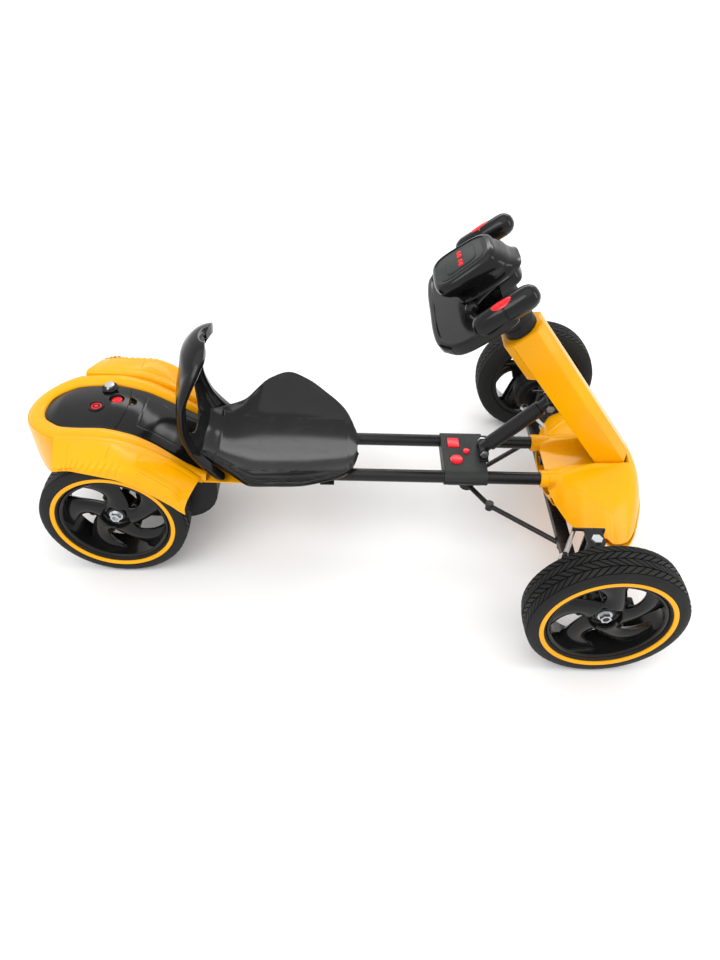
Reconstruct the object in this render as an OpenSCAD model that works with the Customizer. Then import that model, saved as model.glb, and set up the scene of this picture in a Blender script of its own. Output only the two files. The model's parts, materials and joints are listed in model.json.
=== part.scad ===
// Battery kart for a small child: two tube rails, a moulded rear body and seat,
// a steered front axle with a geared motor at each wheel, and a horned steering wheel.
// Millimetres. +X is forward, +Y is the rider's left, +Z is up.
// The origin is on the ground, under the middle of the whole kart's length.

/* [Wheels] */
// Distance between the two axles
wheelbase = 765; // [700:5:860]
// Outside diameter of each tyre
wheel_d = 240; // [225:1:250]
// Width of each tyre
tyre_w = 58; // [48:1:64]
// Distance between the middles of the front tyres
front_track = 608; // [590:2:680]
// Distance between the middles of the rear tyres
rear_track = 240; // [236:2:260]
// Diameter of the hole that the tyre leaves for the rim
bead_d = 176; // [150:1:184]
// Diameter of every wheel spindle
spindle_d = 10; // [8:0.5:12]
// Diameter of a rim's hub
hub_d = 54; // [44:1:60]
// Number of swept spokes in a rim
spokes = 5; // [4:1:7]

/* [Chassis] */
// Outside diameter of the two long rails
rail_d = 22; // [18:1:24]
// Wall of the rails
rail_wall = 1.5; // [1:0.5:3]
// Distance between the middles of the rails
rail_gap = 96; // [92:1:104]
// Height of the rails' middle line
rail_z = 149; // [146:1:156]
// Distance from the rear axle to the body's tail
tail_overhang = 150; // [130:1:180]
// Height of the front beam's section
beam_h = 12; // [8:1:14]
// Length of the front beam's section along the kart
beam_l = 22; // [16:1:26]
// Distance between the two kingpins
kingpin_span = 418; // [400:2:430]
// Diameter of the kingpins
kingpin_d = 10; // [8:0.5:12]

/* [Steering] */
// Lean of the steering column from upright, in degrees
column_lean = 38.5; // [34:0.5:42]
// Length of the steering shaft above the column's foot
shaft_len = 432; // [400:1:460]
// Diameter of the steering shaft
shaft_d = 16; // [12:1:18]
// Outside diameter of the fixed column tube
column_d = 26; // [24:1:30]
// Length of the drop arm and of each steering arm
arm_len = 35; // [30:1:38]
// Width of the steering wheel over its grips
grip_span = 230; // [210:2:250]
// Diameter of the steering wheel's grips
grip_d = 34; // [26:1:36]

/* [Seat] */
// Half of the seat's greatest width
seat_half = 153; // [135:1:165]
// Thickness of the seat's moulding
seat_wall = 5; // [4:0.5:8]
// Height of the top of the backrest
back_top_z = 386; // [350:2:400]
// Height of the oval hole in the backrest
back_hole_h = 92; // [70:2:100]

/* [Rear body] */
// Thickness of the moulded body panels
body_wall = 2.5; // [2:0.5:4]
// Height of the deck at its highest, over the axle
deck_z = 252; // [250:1:262]
// Distance from the rear axle to the split between lid and deck
split_x = 10; // [4:1:20]
// Half width of the body over the rear wheels
fender_half = 152; // [150:1:165]

/* [Controls] */
// Length of the control box along the rails
box_len = 74; // [66:1:84]
// Diameter of the two push buttons on the lid
lid_button_d = 18; // [14:1:20]
// Travel of a push button
button_travel = 2; // [1:0.5:3]

/* [Fits] */
// Radial running clearance of a shaft in its bore
running_gap = 0.05; // [0.02:0.01:0.1]
// Gap between pieces that are assembled face to face
seam = 0.25; // [0.2:0.05:0.4]

/* [Hidden] */
$fn = 48;

yellow = "#f6b40a";
gloss_black = "#151617";
satin_black = "#2a2b2d";
red = "#d8141c";
steel = "#b9bcc0";

wheel_r = wheel_d / 2;
spindle_r = spindle_d / 2;
rail_r = rail_d / 2;
rail_y = rail_gap / 2;
rail_top = rail_z + rail_r;
rail_low = rail_z - rail_r;
front_y = front_track / 2;
rear_y = rear_track / 2;
kingpin_y = kingpin_span / 2;
kingpin_r = kingpin_d / 2;
shaft_r = shaft_d / 2;
column_r = column_d / 2;
grip_r = grip_d / 2;
rear_x = -(wheelbase + wheel_r - tail_overhang) / 2;
front_x = rear_x + wheelbase;
floor_low = rail_top + seam;
floor_top = floor_low + body_wall;

// Column frame: its foot, and the directions along it (up) and across it (forward)
foot_x = front_x + 85;
foot_z = 148;
steer_t = 440;

// Front axle heights
yoke_plate = 4;
yoke_low = 91;
yoke_high = 169;
yoke_r = 14;
arm_in = 14;
arm_z = 105;
arm_plate = 4;
pin_r = 3;
eye_clear = 7.2;

// Control box
box_x = front_x - 183;
box_top = rail_z + rail_r + 3;

// ---------------------------------------------------------------- helpers
function rx(d) = rear_x + d;
function fx(d) = front_x + d;
function col(a, t, y = 0) = [
    foot_x + a * cos(column_lean) - t * sin(column_lean), y,
    foot_z + a * sin(column_lean) + t * cos(column_lean)
];
function arc(c, r, from, to, n = 6) =
    [for (i = [0 : n]) let (w = from + (to - from) * i / n) [c.x + r * cos(w), c.y + r * sin(w)]];

// Places children in the column frame, t up the column from its foot
module on_column(t = 0)
    translate([foot_x, 0, foot_z]) rotate([0, -column_lean, 0]) translate([0, 0, t]) children();

module both_sides() { children(); mirror([0, 1, 0]) children(); }

// A round bar from p to q
module bar(p, q, r) {
    v = q - p;
    translate(p) rotate([0, acos(v.z / norm(v)), atan2(v.y, v.x)]) cylinder(h = norm(v), r = r);
}

// A round bar along Y, from y0 to y1, at x and z
module cross_bar(x, z, y0, y1, r) translate([x, y1, z]) rotate([90, 0, 0]) cylinder(h = y1 - y0, r = r);

// A round bar along X, from x0 to x1, at y and z
module long_bar(x0, x1, y, z, r) translate([x0, y, z]) rotate([0, 90, 0]) cylinder(h = x1 - x0, r = r);

// A box from its low corner to its high corner
module block(low, high) translate(low) cube(high - low);

module hex_prism(r, h) cylinder(h = h, r = r, $fn = 6);

// Triangles that close a ring whose second half runs back along its first half
function strip_cap(m) = [for (j = [0 : m / 2 - 2])
    for (f = [[j, j + 1, m - 2 - j], [j, m - 2 - j, m - 1 - j]]) f];

// A skin over closed rings that all have the same number of points, each ring clockwise
// when it is seen from the last ring's end
module skin(rings, cap = undef) {
    n = len(rings);
    m = len(rings[0]);
    end = is_undef(cap) ? strip_cap(m) : cap;
    polyhedron(
        points = [for (ring = rings) for (p = ring) p],
        faces = concat(
            [for (f = end) [f[2], f[1], f[0]]],
            [for (i = [0 : n - 2]) for (j = [0 : m - 1])
                let (a = i * m + j, b = i * m + (j + 1) % m)
                for (f = [[a, b, a + m], [b, b + m, a + m]]) f],
            [for (f = end) [for (v = f) (n - 1) * m + v]]
        ),
        convexity = 8
    );
}

// Across-the-body curve at x: half wide, edges at z, middle raised by rise; power sets squareness
function bow(x, half, z, rise, power, n = 12) =
    [for (i = [0 : n]) let (u = sin(180 * i / n - 90))
        [x, half * u, z + rise * (1 - pow(abs(u), power))]];

function reversed(list) = [for (i = [len(list) - 1 : -1 : 0]) list[i]];

// A closed ring of a curved wall, arched up (rise above 0) or sagging (below 0)
function wall_ring(x, half, z, rise, power, wall, n = 12) = let (
        outer = bow(x, half, z, rise, power, n),
        inner = bow(x, half - wall, z, rise - sign(rise) * wall, power, n)
    ) rise > 0 ? concat(outer, reversed(inner)) : concat(inner, reversed(outer));

// A bar with round ends along Z, from 0 to h between its end centres
module capsule(h, r) rotate_extrude() polygon(concat(
    [[0, -r]], arc([0, 0], r, -75, 0, 5), arc([0, h], r, 0, 75, 5), [[0, h + r]]
));

// A slot-shaped block, long by 2 r across, standing h high
module slot(long, r, h) {
    for (x = [r - long / 2, long / 2 - r]) translate([x, 0, 0]) cylinder(h = h, r = r);
    translate([r - long / 2, -r, 0]) cube([long - 2 * r, 2 * r, h]);
}

// ---------------------------------------------------------------- wheels
module tyre(y) {
    w = tyre_w / 2;
    b = bead_d / 2;
    color(satin_black) translate([0, y, wheel_r]) rotate([90, 0, 0]) rotate_extrude($fn = 72)
        polygon([
            [b, -w * 0.78], [wheel_r - 22, -w], [wheel_r - 9, -w * 0.97], [wheel_r - 3, -w * 0.8],
            [wheel_r - 0.6, -w * 0.4], [wheel_r, 0], [wheel_r - 0.6, w * 0.4],
            [wheel_r - 3, w * 0.8], [wheel_r - 9, w * 0.97], [wheel_r - 22, w], [b, w * 0.78]
        ]);
}

// One piece rim; out is +1 or -1, the side that its hub's face looks to
module rim(y, out) {
    b = bead_d / 2 - seam;
    w = tyre_w * 0.39;
    hub_in = w + 4.5;
    hub_out = w - 15;
    color(gloss_black) translate([0, y, wheel_r]) rotate([-90 * out, 0, 0]) difference() {
        union() {
            difference() {
                translate([0, 0, -w]) cylinder(h = 2 * w, r = b, $fn = 72);
                translate([0, 0, -w - 1]) cylinder(h = 2 * w + 2, r = b - 6, $fn = 72);
            }
            translate([0, 0, -hub_in]) cylinder(h = hub_in + hub_out, r = hub_d / 2);
            for (i = [0 : spokes - 1]) rotate(i * 360 / spokes)
                translate([0, 0, -6]) linear_extrude(12) polygon([
                    [hub_d / 2 - 4, -14], [hub_d / 2 - 4, 14], [b * 0.66, 26], [b - 9, 30],
                    [b - 4, 8], [b * 0.62, -4]
                ]);
        }
        translate([0, 0, -hub_in - 1]) cylinder(h = 2 * hub_in + 2, r = spindle_r + running_gap);
    }
}

// ---------------------------------------------------------------- chassis
module rail(side) color(gloss_black) difference() {
    long_bar(rx(-88), fx(76), side * rail_y, rail_z, rail_r);
    long_bar(rx(-89), fx(77), side * rail_y, rail_z, rail_r - rail_wall);
}
seat_bolt_x = [rx(245), rx(345)];

// Beam, posts up to the rails, and a yoke for each kingpin, welded in one piece
module front_frame() color(gloss_black) difference() {
    union() {
        block([fx(-20) - beam_l / 2, -kingpin_y + 24, yoke_low - 3],
              [fx(-20) + beam_l / 2, kingpin_y - 24, yoke_low - 3 + beam_h]);
        both_sides() {
            block([fx(-20) - 9, rail_y - 8, yoke_low - 3 + beam_h], [fx(-20) + 9, rail_y + 8, rail_low + 5]);
            block([fx(-31), kingpin_y - 28, yoke_low], [fx(20), kingpin_y - 24, yoke_high]);
            for (z = [yoke_low, yoke_high - yoke_plate]) {
                translate([front_x, kingpin_y, z]) cylinder(h = yoke_plate, r = yoke_r);
                block([fx(-yoke_r), kingpin_y - 25, z], [fx(yoke_r), kingpin_y, z + yoke_plate]);
            }
        }
    }
    both_sides() {
        long_bar(fx(-40), fx(0), rail_y, rail_z, rail_r + 0.1);
        translate([front_x, kingpin_y, yoke_low - 1])
            cylinder(h = yoke_high - yoke_low + 2, r = kingpin_r + 0.1);
        block([fx(-32), kingpin_y - 30, yoke_low - 2 + beam_h],
              [fx(-9), kingpin_y - 20, yoke_high - yoke_plate]);
    }
}

module kingpins() color(steel) both_sides() translate([front_x, kingpin_y, 0]) {
    translate([0, 0, yoke_low - 9]) cylinder(h = yoke_high - yoke_low + 12, r = kingpin_r);
    translate([0, 0, yoke_high + seam]) hex_prism(9, 6);
    translate([0, 0, yoke_low - 8]) hex_prism(9, 8 - seam);
}

module rear_axle() color(steel) {
    cross_bar(rear_x, wheel_r, -rear_y - 12, rear_y + 12, spindle_r);
    both_sides() cross_bar(rear_x, wheel_r, rail_y + 3, rear_y - tyre_w * 0.39 - 5, spindle_r + 3);
}

module rear_axle_brackets() color(gloss_black) both_sides() difference() {
    union() {
        block([rx(-16), rail_y - 2, wheel_r - 2], [rx(16), rail_y + 2, rail_low + 4]);
        cross_bar(rear_x, wheel_r, rail_y - 2, rail_y + 2, 16);
    }
    cross_bar(rear_x, wheel_r, rail_y - 3, rail_y + 3, spindle_r + 0.1);
    long_bar(rx(-20), rx(20), rail_y, rail_z, rail_r + 0.1);
}

// A washer and a nut at each end of a spindle, from y outwards
module hub_nut(x, y) {
    difference() {
        union() {
            cross_bar(x, wheel_r, y, y + 1.6, spindle_r + 6);
            translate([x, y + 1.5, wheel_r]) rotate([-90, 0, 0]) hex_prism(spindle_r + 3.5, 7);
        }
        cross_bar(x, wheel_r, y - 1, y + 10, spindle_r + 0.05);
    }
}
hub_face = tyre_w * 0.39 - 15;

module rear_axle_nuts() color(steel) both_sides() hub_nut(rear_x, rear_y + hub_face + seam);
module hub_nut_left() color(steel) hub_nut(front_x, front_y + hub_face + seam);

// ---------------------------------------------------------------- body
// Half width and height of the deck's edge, by distance from the rear axle
deck_half = [[-124, 3], [-121, 22], [-105, 42], [-82, 56], [-44, 60], [60, 61], [100, 66], [175, 74]];
rim_half = [[-150, 4], [-147, 24], [-138, 42], [-119, 62], [-103, 75], [-86, 84], [-70, 86],
            [130, 86], [160, 84]];
deck_drop = [[-150, 14], [-124, 9], [-82, 5], [-20, 3], [26, 13], [57, 29], [88, 50], [117, 70],
             [150, 84], [175, 88]];
function deck_edge(x) = deck_z - lookup(x, deck_drop) - 2;

body_x = [-150, -146, -140, -132, -124, -121, -113, -105, -94, -82, -63, -44, -20, 10, 35, 60,
          80, 100, 124, 146];
// The tail behind the lid stretches with the overhang
function tail(x) = x < -124 ? -124 + (x + 124) * (tail_overhang - 124) / 26 : x;
// Closed section of the tray: outer wall up, over the rolled rim, and down inside
function body_ring(x) = let (
        out = lookup(x, rim_half),
        inn = max(1.2, min(lookup(x, deck_half) + 0.3, out - body_wall - 0.4)),
        top = deck_edge(x) + 1,
        low = max(floor_low, floor_low + (-124 - x) * 1.4),
        sill = max(low + body_wall, x < -122 ? top - 9 : 0),
        g = min(8, (out - inn) * 0.4),
        side = [[-out, low], [-out, top - 7], [-out + g * 0.35, top - 1.5], [-out + g, top + 2],
                [-inn - g * 0.25, top + 0.5], [-inn, top - 3], [-inn - g * 0.05, sill]]
    ) concat([for (p = side) [rx(tail(x)), p.x, p.y]],
             [for (p = reversed(side)) [rx(tail(x)), -p.x, p.y]]);
// Closes the tray's end: a fan over each wall and a quad for the floor between them
body_cap = concat([for (j = [1 : 5]) [0, j, j + 1]], [for (j = [7 : 11]) [13, j, j + 1]],
                  [[0, 6, 7], [0, 7, 13]]);

module rear_body() color(yellow) difference() {
    union() {
        skin([for (x = body_x) body_ring(x)], body_cap);
        block([rx(140), -88, floor_low], [rx(308), 88, floor_top]);
    }
    for (x = seat_bolt_x) for (y = [-30, 30])
        translate([x, y, floor_low - 1]) cylinder(h = 10, r = 3.2);
}

// Fender: inner edge, crown, ridge and skirt, by distance from the rear axle
fender_in = [[-80, 253], [-35, 253], [8, 250], [48, 236], [87, 213], [117, 190], [138, 171]];
fender_ridge = [[-80, 242], [-35, 248], [20, 247], [50, 237], [76, 218], [100, 198], [138, 168]];
fender_x = [-80, -58, -35, -12, 12, 35, 55, 76, 98, 118, 138];
function fender_ring(x) = let (
        a = lookup(x, fender_in), r = lookup(x, fender_ridge), h = fender_half, t = body_wall,
        skirt = lookup(x, [[-80, 4], [-20, 12], [40, 22], [138, 26]]),
        slant = lookup(x, [[-80, -14], [-20, 0], [100, 0], [138, 16]]),
        p = [[86.3, a - 14], [86.8, a - 3], [91, a], [115, a * 0.45 + r * 0.55 + 3], [h - 10, r + 1.5],
             [h - 3, r - 2], [h, r - skirt]]
    ) concat([for (i = [0 : 6]) [rx(x) - slant * (p[i].x - 87) / 65, p[i].x, p[i].y]],
             [for (i = [6 : -1 : 0]) [rx(x) - slant * (p[i].x - 87) / 65,
                 i < 2 ? p[i].x + t : i > 4 ? p[i].x - t : p[i].x, p[i].y - (i > 1 && i < 6 ? t : 0)]]);
module fender_left() color(yellow) skin([for (x = fender_x) fender_ring(x)]);

// A crowned panel of the deck, from x0 to x1, with its own gap to the rim
module deck_skin(xs, crown, thick) skin([for (x = xs) wall_ring_deck(x, crown, thick)]);
function wall_ring_deck(x, crown, thick) = let (h = lookup(x, deck_half) - 0.3, z = deck_edge(x))
    concat([for (p = bow(rx(x), h, z, crown, 2, 8)) p],
           [for (i = [8 : -1 : 0]) let (p = bow(rx(x), h, z, crown, 2, 8)[i]) [p.x, p.y, p.z - thick]]);

module deck_panel() color(gloss_black)
    deck_skin([split_x + 0.6, 35, 60, 80, 100, 124, 146], 6, body_wall);

lid_x = [-123.4, -121, -113, -105, -94, -82, -63, -44, -20];
latch_at = [rx(-26), 42];
power_at = [rx(-36), -8];
charge_at = [rx(-9), 16];
module battery_lid() color(gloss_black) difference() {
    union() {
        deck_skin(concat(lid_x, [split_x - 0.5]), 6, body_wall);
        translate([power_at.x, power_at.y, deck_z - 6]) cylinder(h = 9, r = lid_button_d / 2 + 5);
        translate([charge_at.x, charge_at.y, deck_z - 14]) cylinder(h = 15, r = lid_button_d / 2 + 3);
    }
    for (p = [power_at, charge_at])
        translate([p.x, p.y, deck_z - 30]) cylinder(h = 60, r = lid_button_d / 2 + running_gap);
    translate([charge_at.x, charge_at.y, deck_z - 4]) cylinder(h = 20, r = lid_button_d / 2 + 1.5);
    translate([latch_at.x, latch_at.y, deck_z - 20]) cylinder(h = 40, r = 4 + running_gap);
}
module latch_plate() color(satin_black) difference() {
    translate([latch_at.x, latch_at.y, deck_z + 1.2]) cylinder(h = 2, r = 15, $fn = 6);
    translate([latch_at.x, latch_at.y, deck_z - 20]) cylinder(h = 40, r = 4 + running_gap);
}
module latch_knob() color(steel) translate([latch_at.x, latch_at.y, 0]) {
    translate([0, 0, deck_z - 9]) cylinder(h = 14, r = 4);
    translate([0, 0, deck_z + 3.4]) cylinder(h = 5, r = 8);
    translate([-2, -12, deck_z + 3.4]) cube([4, 24, 4]);
    translate([-4, -4, deck_z - 9]) cube([12, 8, 2]);
}
module push_button(p, top, r) translate([p.x, p.y, top - 16]) {
    cylinder(h = 14, r = r);
    translate([0, 0, 14]) cylinder(h = 2, r = r - 1);
}
module power_button() color(red) push_button(power_at, deck_z + 4.5, lid_button_d / 2);
module charge_button() color(red) push_button(charge_at, deck_z + 0.5, lid_button_d / 2);

module battery() color("#3a3d42")
    block([rx(-88), -35, floor_top + seam], [rx(2), 35, floor_top + seam + 47]);

// Belly tray: a side outline with rounded lower corners, drawn the kart's width and hollowed
module tray_outline(inset) {
    x0 = rx(20) + inset;
    x1 = rx(160) - inset;
    z0 = 68 + inset;
    polygon(concat(
        [[x1, floor_low - seam]], [[x0, floor_low - seam]],
        arc([x0 + 22 - inset, z0 + 22 - inset], 22 - inset, 180, 270),
        arc([x1 - 62 + inset, z0 + 62 - inset], 62 - inset, 270, 360)
    ));
}
module belly_tray() color(satin_black) difference() {
    translate([0, 78, 0]) rotate([90, 0, 0]) linear_extrude(156) tray_outline(0);
    translate([0, 75, 5]) rotate([90, 0, 0]) linear_extrude(150) tray_outline(3);
    translate([0, 75, 0]) rotate([90, 0, 0]) linear_extrude(150) tray_outline(3);
    both_sides() long_bar(rx(10), rx(170), rail_y, rail_z, rail_r + 0.3);
}

// ---------------------------------------------------------------- seat
seat_x = [126, 138, 150, 160, 172, 190, 212, 235, 268, 300, 332, 360, 380, 392, 396];
pan_half = [[126, 60], [150, 72], [160, 79], [172, 86], [190, 100], [231, 144], [268, 153],
            [303, 143], [337, 121], [371, 92], [388, 60], [396, 20]];
wing_z = [[126, 206], [150, 200], [190, 196], [212, 204], [235, 214], [268, 222], [303, 214],
          [337, 202], [371, 188], [396, 172]];
pan_z = [[126, 195], [138, 187], [150, 179], [165, 172], [190, 169], [240, 168.6], [340, 168.6],
         [396, 170]];
back_z = [190, 205, 230, 260, 290, 315, 335, 352, 366, 377, 386];
back_x = [[172, 140], [200, 126], [230, 116], [290, 110], [335, 116], [366, 128], [386, 138]];
back_half = [[172, 88], [200, 84], [250, 80], [300, 80], [335, 76], [352, 66], [366, 52],
             [377, 36], [386, 16]];
back_wrap = [[172, 50], [230, 40], [290, 36], [335, 40], [366, 32], [386, 14]];

function back_curve(z, half, grow) = [for (i = [0 : 14]) let (w = -90 + 180 * i / 14)
    [rx(lookup(z, back_x)) - grow + (lookup(z, back_wrap) + grow) * (1 - cos(w)), half * sin(w), z]];
function back_ring(z) = let (h = lookup(z, back_half))
    [for (p = concat(back_curve(z, h, 9), [for (i = [14 : -1 : 0]) back_curve(z, h - 8, 0)[i]]))
        [p.x, p.y, 172 + (p.z - 172) * (back_top_z - 172) / (386 - 172)]];

module seat() color(gloss_black) difference() {
    union() {
        skin([for (x = seat_x) let (h = lookup(x, pan_half) * seat_half / 153, p = lookup(x, pan_z))
            wall_ring(rx(x), h, lookup(x, wing_z), p - lookup(x, wing_z) - 5, 3, seat_wall)]);
        skin([for (z = back_z) back_ring(z)]);
    }
    translate([rx(60), 0, 272]) rotate([0, 90, 0]) scale([back_hole_h / 86, 1, 1])
        cylinder(h = 120, r = 43);
    for (x = seat_bolt_x) for (y = [-30, 30]) translate([x, y, floor_low]) cylinder(h = 6, r = 3.2);
}

module seat_brackets() color(satin_black) for (x = seat_bolt_x) difference() {
    union() {
        block([x - 12, -rail_y - 12, rail_low - 3.2], [x + 12, rail_y + 12, rail_low - 0.2]);
        if (x > rx(308))
            block([x - 12, -rail_y - 12, rail_top + 0.1], [x + 12, rail_y + 12, floor_top - 0.4]);
    }
    for (y = [-30, 30]) translate([x, y, rail_low - 4]) cylinder(h = 40, r = 3.2);
}

module frame_bolts() color(steel) {
    for (x = seat_bolt_x) for (y = [-30, 30]) translate([x, y, rail_low - 8]) {
        cylinder(h = floor_top + 2 - rail_low + 8, r = 3);
        hex_prism(5.5, 4.6);
    }
    for (p = [strut_low, strut_high]) cross_bar(p.x, p.z, -19, 19, 3.9);
    for (p = [strut_low, strut_high]) both_sides()
        translate([p.x, 16.6, p.z]) rotate([-90, 0, 0]) hex_prism(7, 4);
}

// ---------------------------------------------------------------- control box and struts
module rail_clamp_cut() both_sides()
    long_bar(box_x - 60, box_x + 60, rail_y, rail_z, rail_r + 0.1);
rocker_at = [box_x - 16, 26];
speed_at = [box_x - 14, -19];
start_at = [box_x + 5, 3];

module box_upper() color("#3c3e40") difference() {
    union() {
        block([box_x - box_len / 2, -rail_y, rail_z + 0.15], [box_x + box_len / 2, rail_y, box_top]);
        both_sides() intersection() {
            long_bar(box_x - box_len / 2, box_x + box_len / 2, rail_y, rail_z, rail_r + 3);
            block([box_x - box_len, 0, rail_z + 0.15], [box_x + box_len, 100, box_top + 9]);
        }
    }
    rail_clamp_cut();
    block([box_x - box_len / 2 + 3, -rail_y + 14, rail_z - 1],
          [box_x + box_len / 2 - 3, rail_y - 14, box_top - 3]);
    block([rocker_at.x - 10.6, rocker_at.y - 12.6, rail_z],
          [rocker_at.x + 10.6, rocker_at.y + 12.6, box_top + 1]);
    translate([speed_at.x, speed_at.y, rail_z]) cylinder(h = 60, r = 11 + running_gap);
    translate([start_at.x, start_at.y, rail_z]) cylinder(h = 60, r = 6 + running_gap);
}
module box_lower() color(satin_black) difference() {
    union() {
        block([box_x - box_len / 2, -rail_y, rail_low - 3], [box_x + box_len / 2, rail_y, rail_z - 0.15]);
        both_sides() intersection() {
            long_bar(box_x - box_len / 2, box_x + box_len / 2, rail_y, rail_z, rail_r + 3);
            block([box_x - box_len, 0, 100], [box_x + box_len, 100, rail_z - 0.15]);
        }
        block([box_x - 24, -36, rail_low - 20], [box_x + 30, 36, rail_low - 2]);
        translate([box_x + 15, 0, rail_low - 54]) cylinder(h = 36, r = 13);
    }
    rail_clamp_cut();
    block([box_x - box_len / 2 + 3, -rail_y + 14, rail_low - 1],
          [box_x + box_len / 2 - 3, rail_y - 14, rail_z + 1]);
}

module direction_rocker() color(red) translate([rocker_at.x, rocker_at.y, box_top]) {
    translate([-10, -12, -2.5]) cube([20, 24, 4]);
    translate([-5, -12, -7]) cube([10, 24, 5]);
    cross_bar(0, -3, -12.5, 12.5, 1.5);
}
module speed_button() color(red) difference() {
    push_button(speed_at, box_top + 3, 11);
    block([speed_at.x - 12, speed_at.y - 12, box_top + 1], [speed_at.x - 8, speed_at.y + 12, box_top + 9]);
}
module start_button() color(red) push_button(start_at, box_top + 4, 6);

strut_low = [box_x + box_len / 2 - 4, 0, box_top + 12];
strut_high = col(-31, 189);
strut_r = 13;
module strut() color(satin_black) difference() {
    union() {
        bar(strut_low, strut_high, 10);
        bar(strut_low + 0.1 * (strut_high - strut_low),
            strut_low + 0.88 * (strut_high - strut_low), strut_r);
        for (p = [strut_low, strut_high]) cross_bar(p.x, p.z, -strut_r, strut_r, 8);
    }
    for (p = [strut_low, strut_high]) cross_bar(p.x, p.z, -20, 20, 4);
}
module strut_brackets() color(satin_black) {
    both_sides() difference() {
        union() {
            block([strut_low.x - 8, strut_r + 0.2, box_top + seam],
                  [strut_low.x + 8, strut_r + 3.2, strut_low.z]);
            cross_bar(strut_low.x, strut_low.z, strut_r + 0.2, strut_r + 3.2, 8);
            block([strut_low.x - 8, strut_r, box_top + seam],
                  [strut_low.x + 8, strut_r + 12, box_top + 3]);
        }
        cross_bar(strut_low.x, strut_low.z, 0, 30, 4);
    }
    difference() {
        on_column(189 - 9) union() {
            cylinder(h = 18, r = column_r + 3);
            for (y = [strut_r + 0.2, -strut_r - 3.2]) translate([-39, y, 0]) cube([40, 3, 18]);
        }
        on_column(189 - 10) cylinder(h = 20, r = column_r + 0.1);
        bar(strut_high, strut_high + 0.3 * (strut_low - strut_high), strut_r + 0.1);
        block([strut_high.x - 12, -strut_r - 0.1, strut_high.z - 12],
              [strut_high.x + 9, strut_r + 0.1, strut_high.z + 12]);
        cross_bar(strut_high.x, strut_high.z, -30, 30, 4);
    }
}

stay_bend = [box_x + 51, 50, 83];
stay_end = [fx(-20), 140, 83];
module stay_rods() color(gloss_black) both_sides() difference() {
    union() {
        bar([box_x + 15, 4, 92], stay_bend, 4.5);
        translate(stay_bend - [0, 0, 7]) cylinder(h = 14, r = 7);
        bar(stay_bend, stay_end, 4.5);
        translate([stay_end.x, stay_end.y, 76]) cylinder(h = yoke_low - 3 - 76 - 0.1, r = 8);
    }
    translate([box_x + 15, 0, 60]) cylinder(h = 90, r = 13.1);
}

// ---------------------------------------------------------------- steering column
module column_tube() color(satin_black) on_column() difference() {
    translate([0, 0, 4.4]) cylinder(h = 326, r = column_r);
    translate([0, 0, 3]) cylinder(h = 330, r = shaft_r + running_gap);
}
module column_foot() color(satin_black) difference() {
    union() {
        on_column(4) cylinder(h = 30, r = column_r + 8);
        both_sides() block([foot_x - 24, 14, rail_z - 6], [foot_x - 8, rail_y - rail_r - 0.1, rail_z + 8]);
    }
    on_column(3) cylinder(h = 40, r = column_r + 0.1);
}
module steering_shaft() color(steel) on_column(-7) cylinder(h = shaft_len + 7, r = shaft_r);
pin_at = col(-arm_len, -3);
rod_level = [pin_at.z - 5.6, pin_at.z - 10.8];
module drop_arm() color(steel) difference() {
    union() {
        on_column(-6) cylinder(h = 9, r = shaft_r + 4);
        on_column(-6) translate([-arm_len, -6, 0]) cube([arm_len, 12, 6]);
        translate([pin_at.x, 0, rod_level[1] - 4]) cylinder(h = 14, r = pin_r);
    }
    on_column(-8) cylinder(h = 13, r = shaft_r + 0.05);
}

// Shroud outline across the column: a channel open to the rear, inset by i
module shroud_outline(i) polygon([
    [-21, -30 + i], [20, -30 + i], [34 - i, -17 + i * 0.4], [34 - i, 17 - i * 0.4], [20, 30 - i], [-21, 30 - i]
]);
module shroud_front() color(yellow) difference() {
    on_column(-12) linear_extrude(350) difference() {
        shroud_outline(0);
        shroud_outline(2.5);
        translate([-30, -27.5]) square([20, 55]);
    }
    on_column() translate([-60, -40, 42]) rotate([0, 46, 0]) translate([0, 0, -80]) cube([140, 80, 80]);
    both_sides() block([foot_x - 24.5, 12, rail_z - 6.5], [foot_x - 7.5, 40, rail_z + 8.5]);
}
module shroud_rear() color(yellow) on_column(262) linear_extrude(76) difference() {
    polygon([[-21.3, -30], [-34, -17], [-34, 17], [-21.3, 30]]);
    polygon([[-20, -27.5], [-31.5, -16], [-31.5, 16], [-20, 27.5]]);
}

// ---------------------------------------------------------------- steering wheel
module steering_collar() color(satin_black) on_column(340) difference() {
    cylinder(h = steer_t - 340 - 14, r1 = 26, r2 = 29);
    translate([0, 0, -1]) cylinder(h = 200, r = shaft_r + 0.3);
}
grip_y = grip_span / 2;
tray_y = grip_y + 12;
module tray_plan() polygon(concat(
    arc([-68, -tray_y + 30], 30, 180, 270), arc([8, -tray_y + 12], 12, 270, 330),
    arc([-24, -grip_y + 34], 14, 20, 100), arc([34, -26], 12, 270, 360),
    arc([34, 26], 12, 0, 90), arc([-24, grip_y - 34], 14, 260, 340),
    arc([8, tray_y - 12], 12, 30, 90), arc([-68, tray_y - 30], 30, 90, 180)
));
module steering_wheel() color(gloss_black) on_column(steer_t - 13) difference() {
    union() {
        linear_extrude(20) tray_plan();
        both_sides() translate([-20, grip_y, 19]) rotate([0, 90, 4]) capsule(62, grip_r);
    }
    translate([0, 0, -1]) cylinder(h = 15, r = shaft_r + 0.1);
    translate([-70, -90, 14]) cube([50, 180, 30]);
    both_sides() thumb_well();
}
module thumb_well() translate([14, grip_y + 2, 20]) slot(30, 8.5, 30);
module thumb_pad_left() color(red) on_column(steer_t - 13) intersection() {
    translate([14, grip_y + 2, 20 + button_travel]) slot(29.4, 8.2, 30);
    translate([-20, grip_y, 20.4]) rotate([0, 90, 4]) cylinder(h = 70, r = grip_r);
}

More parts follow.
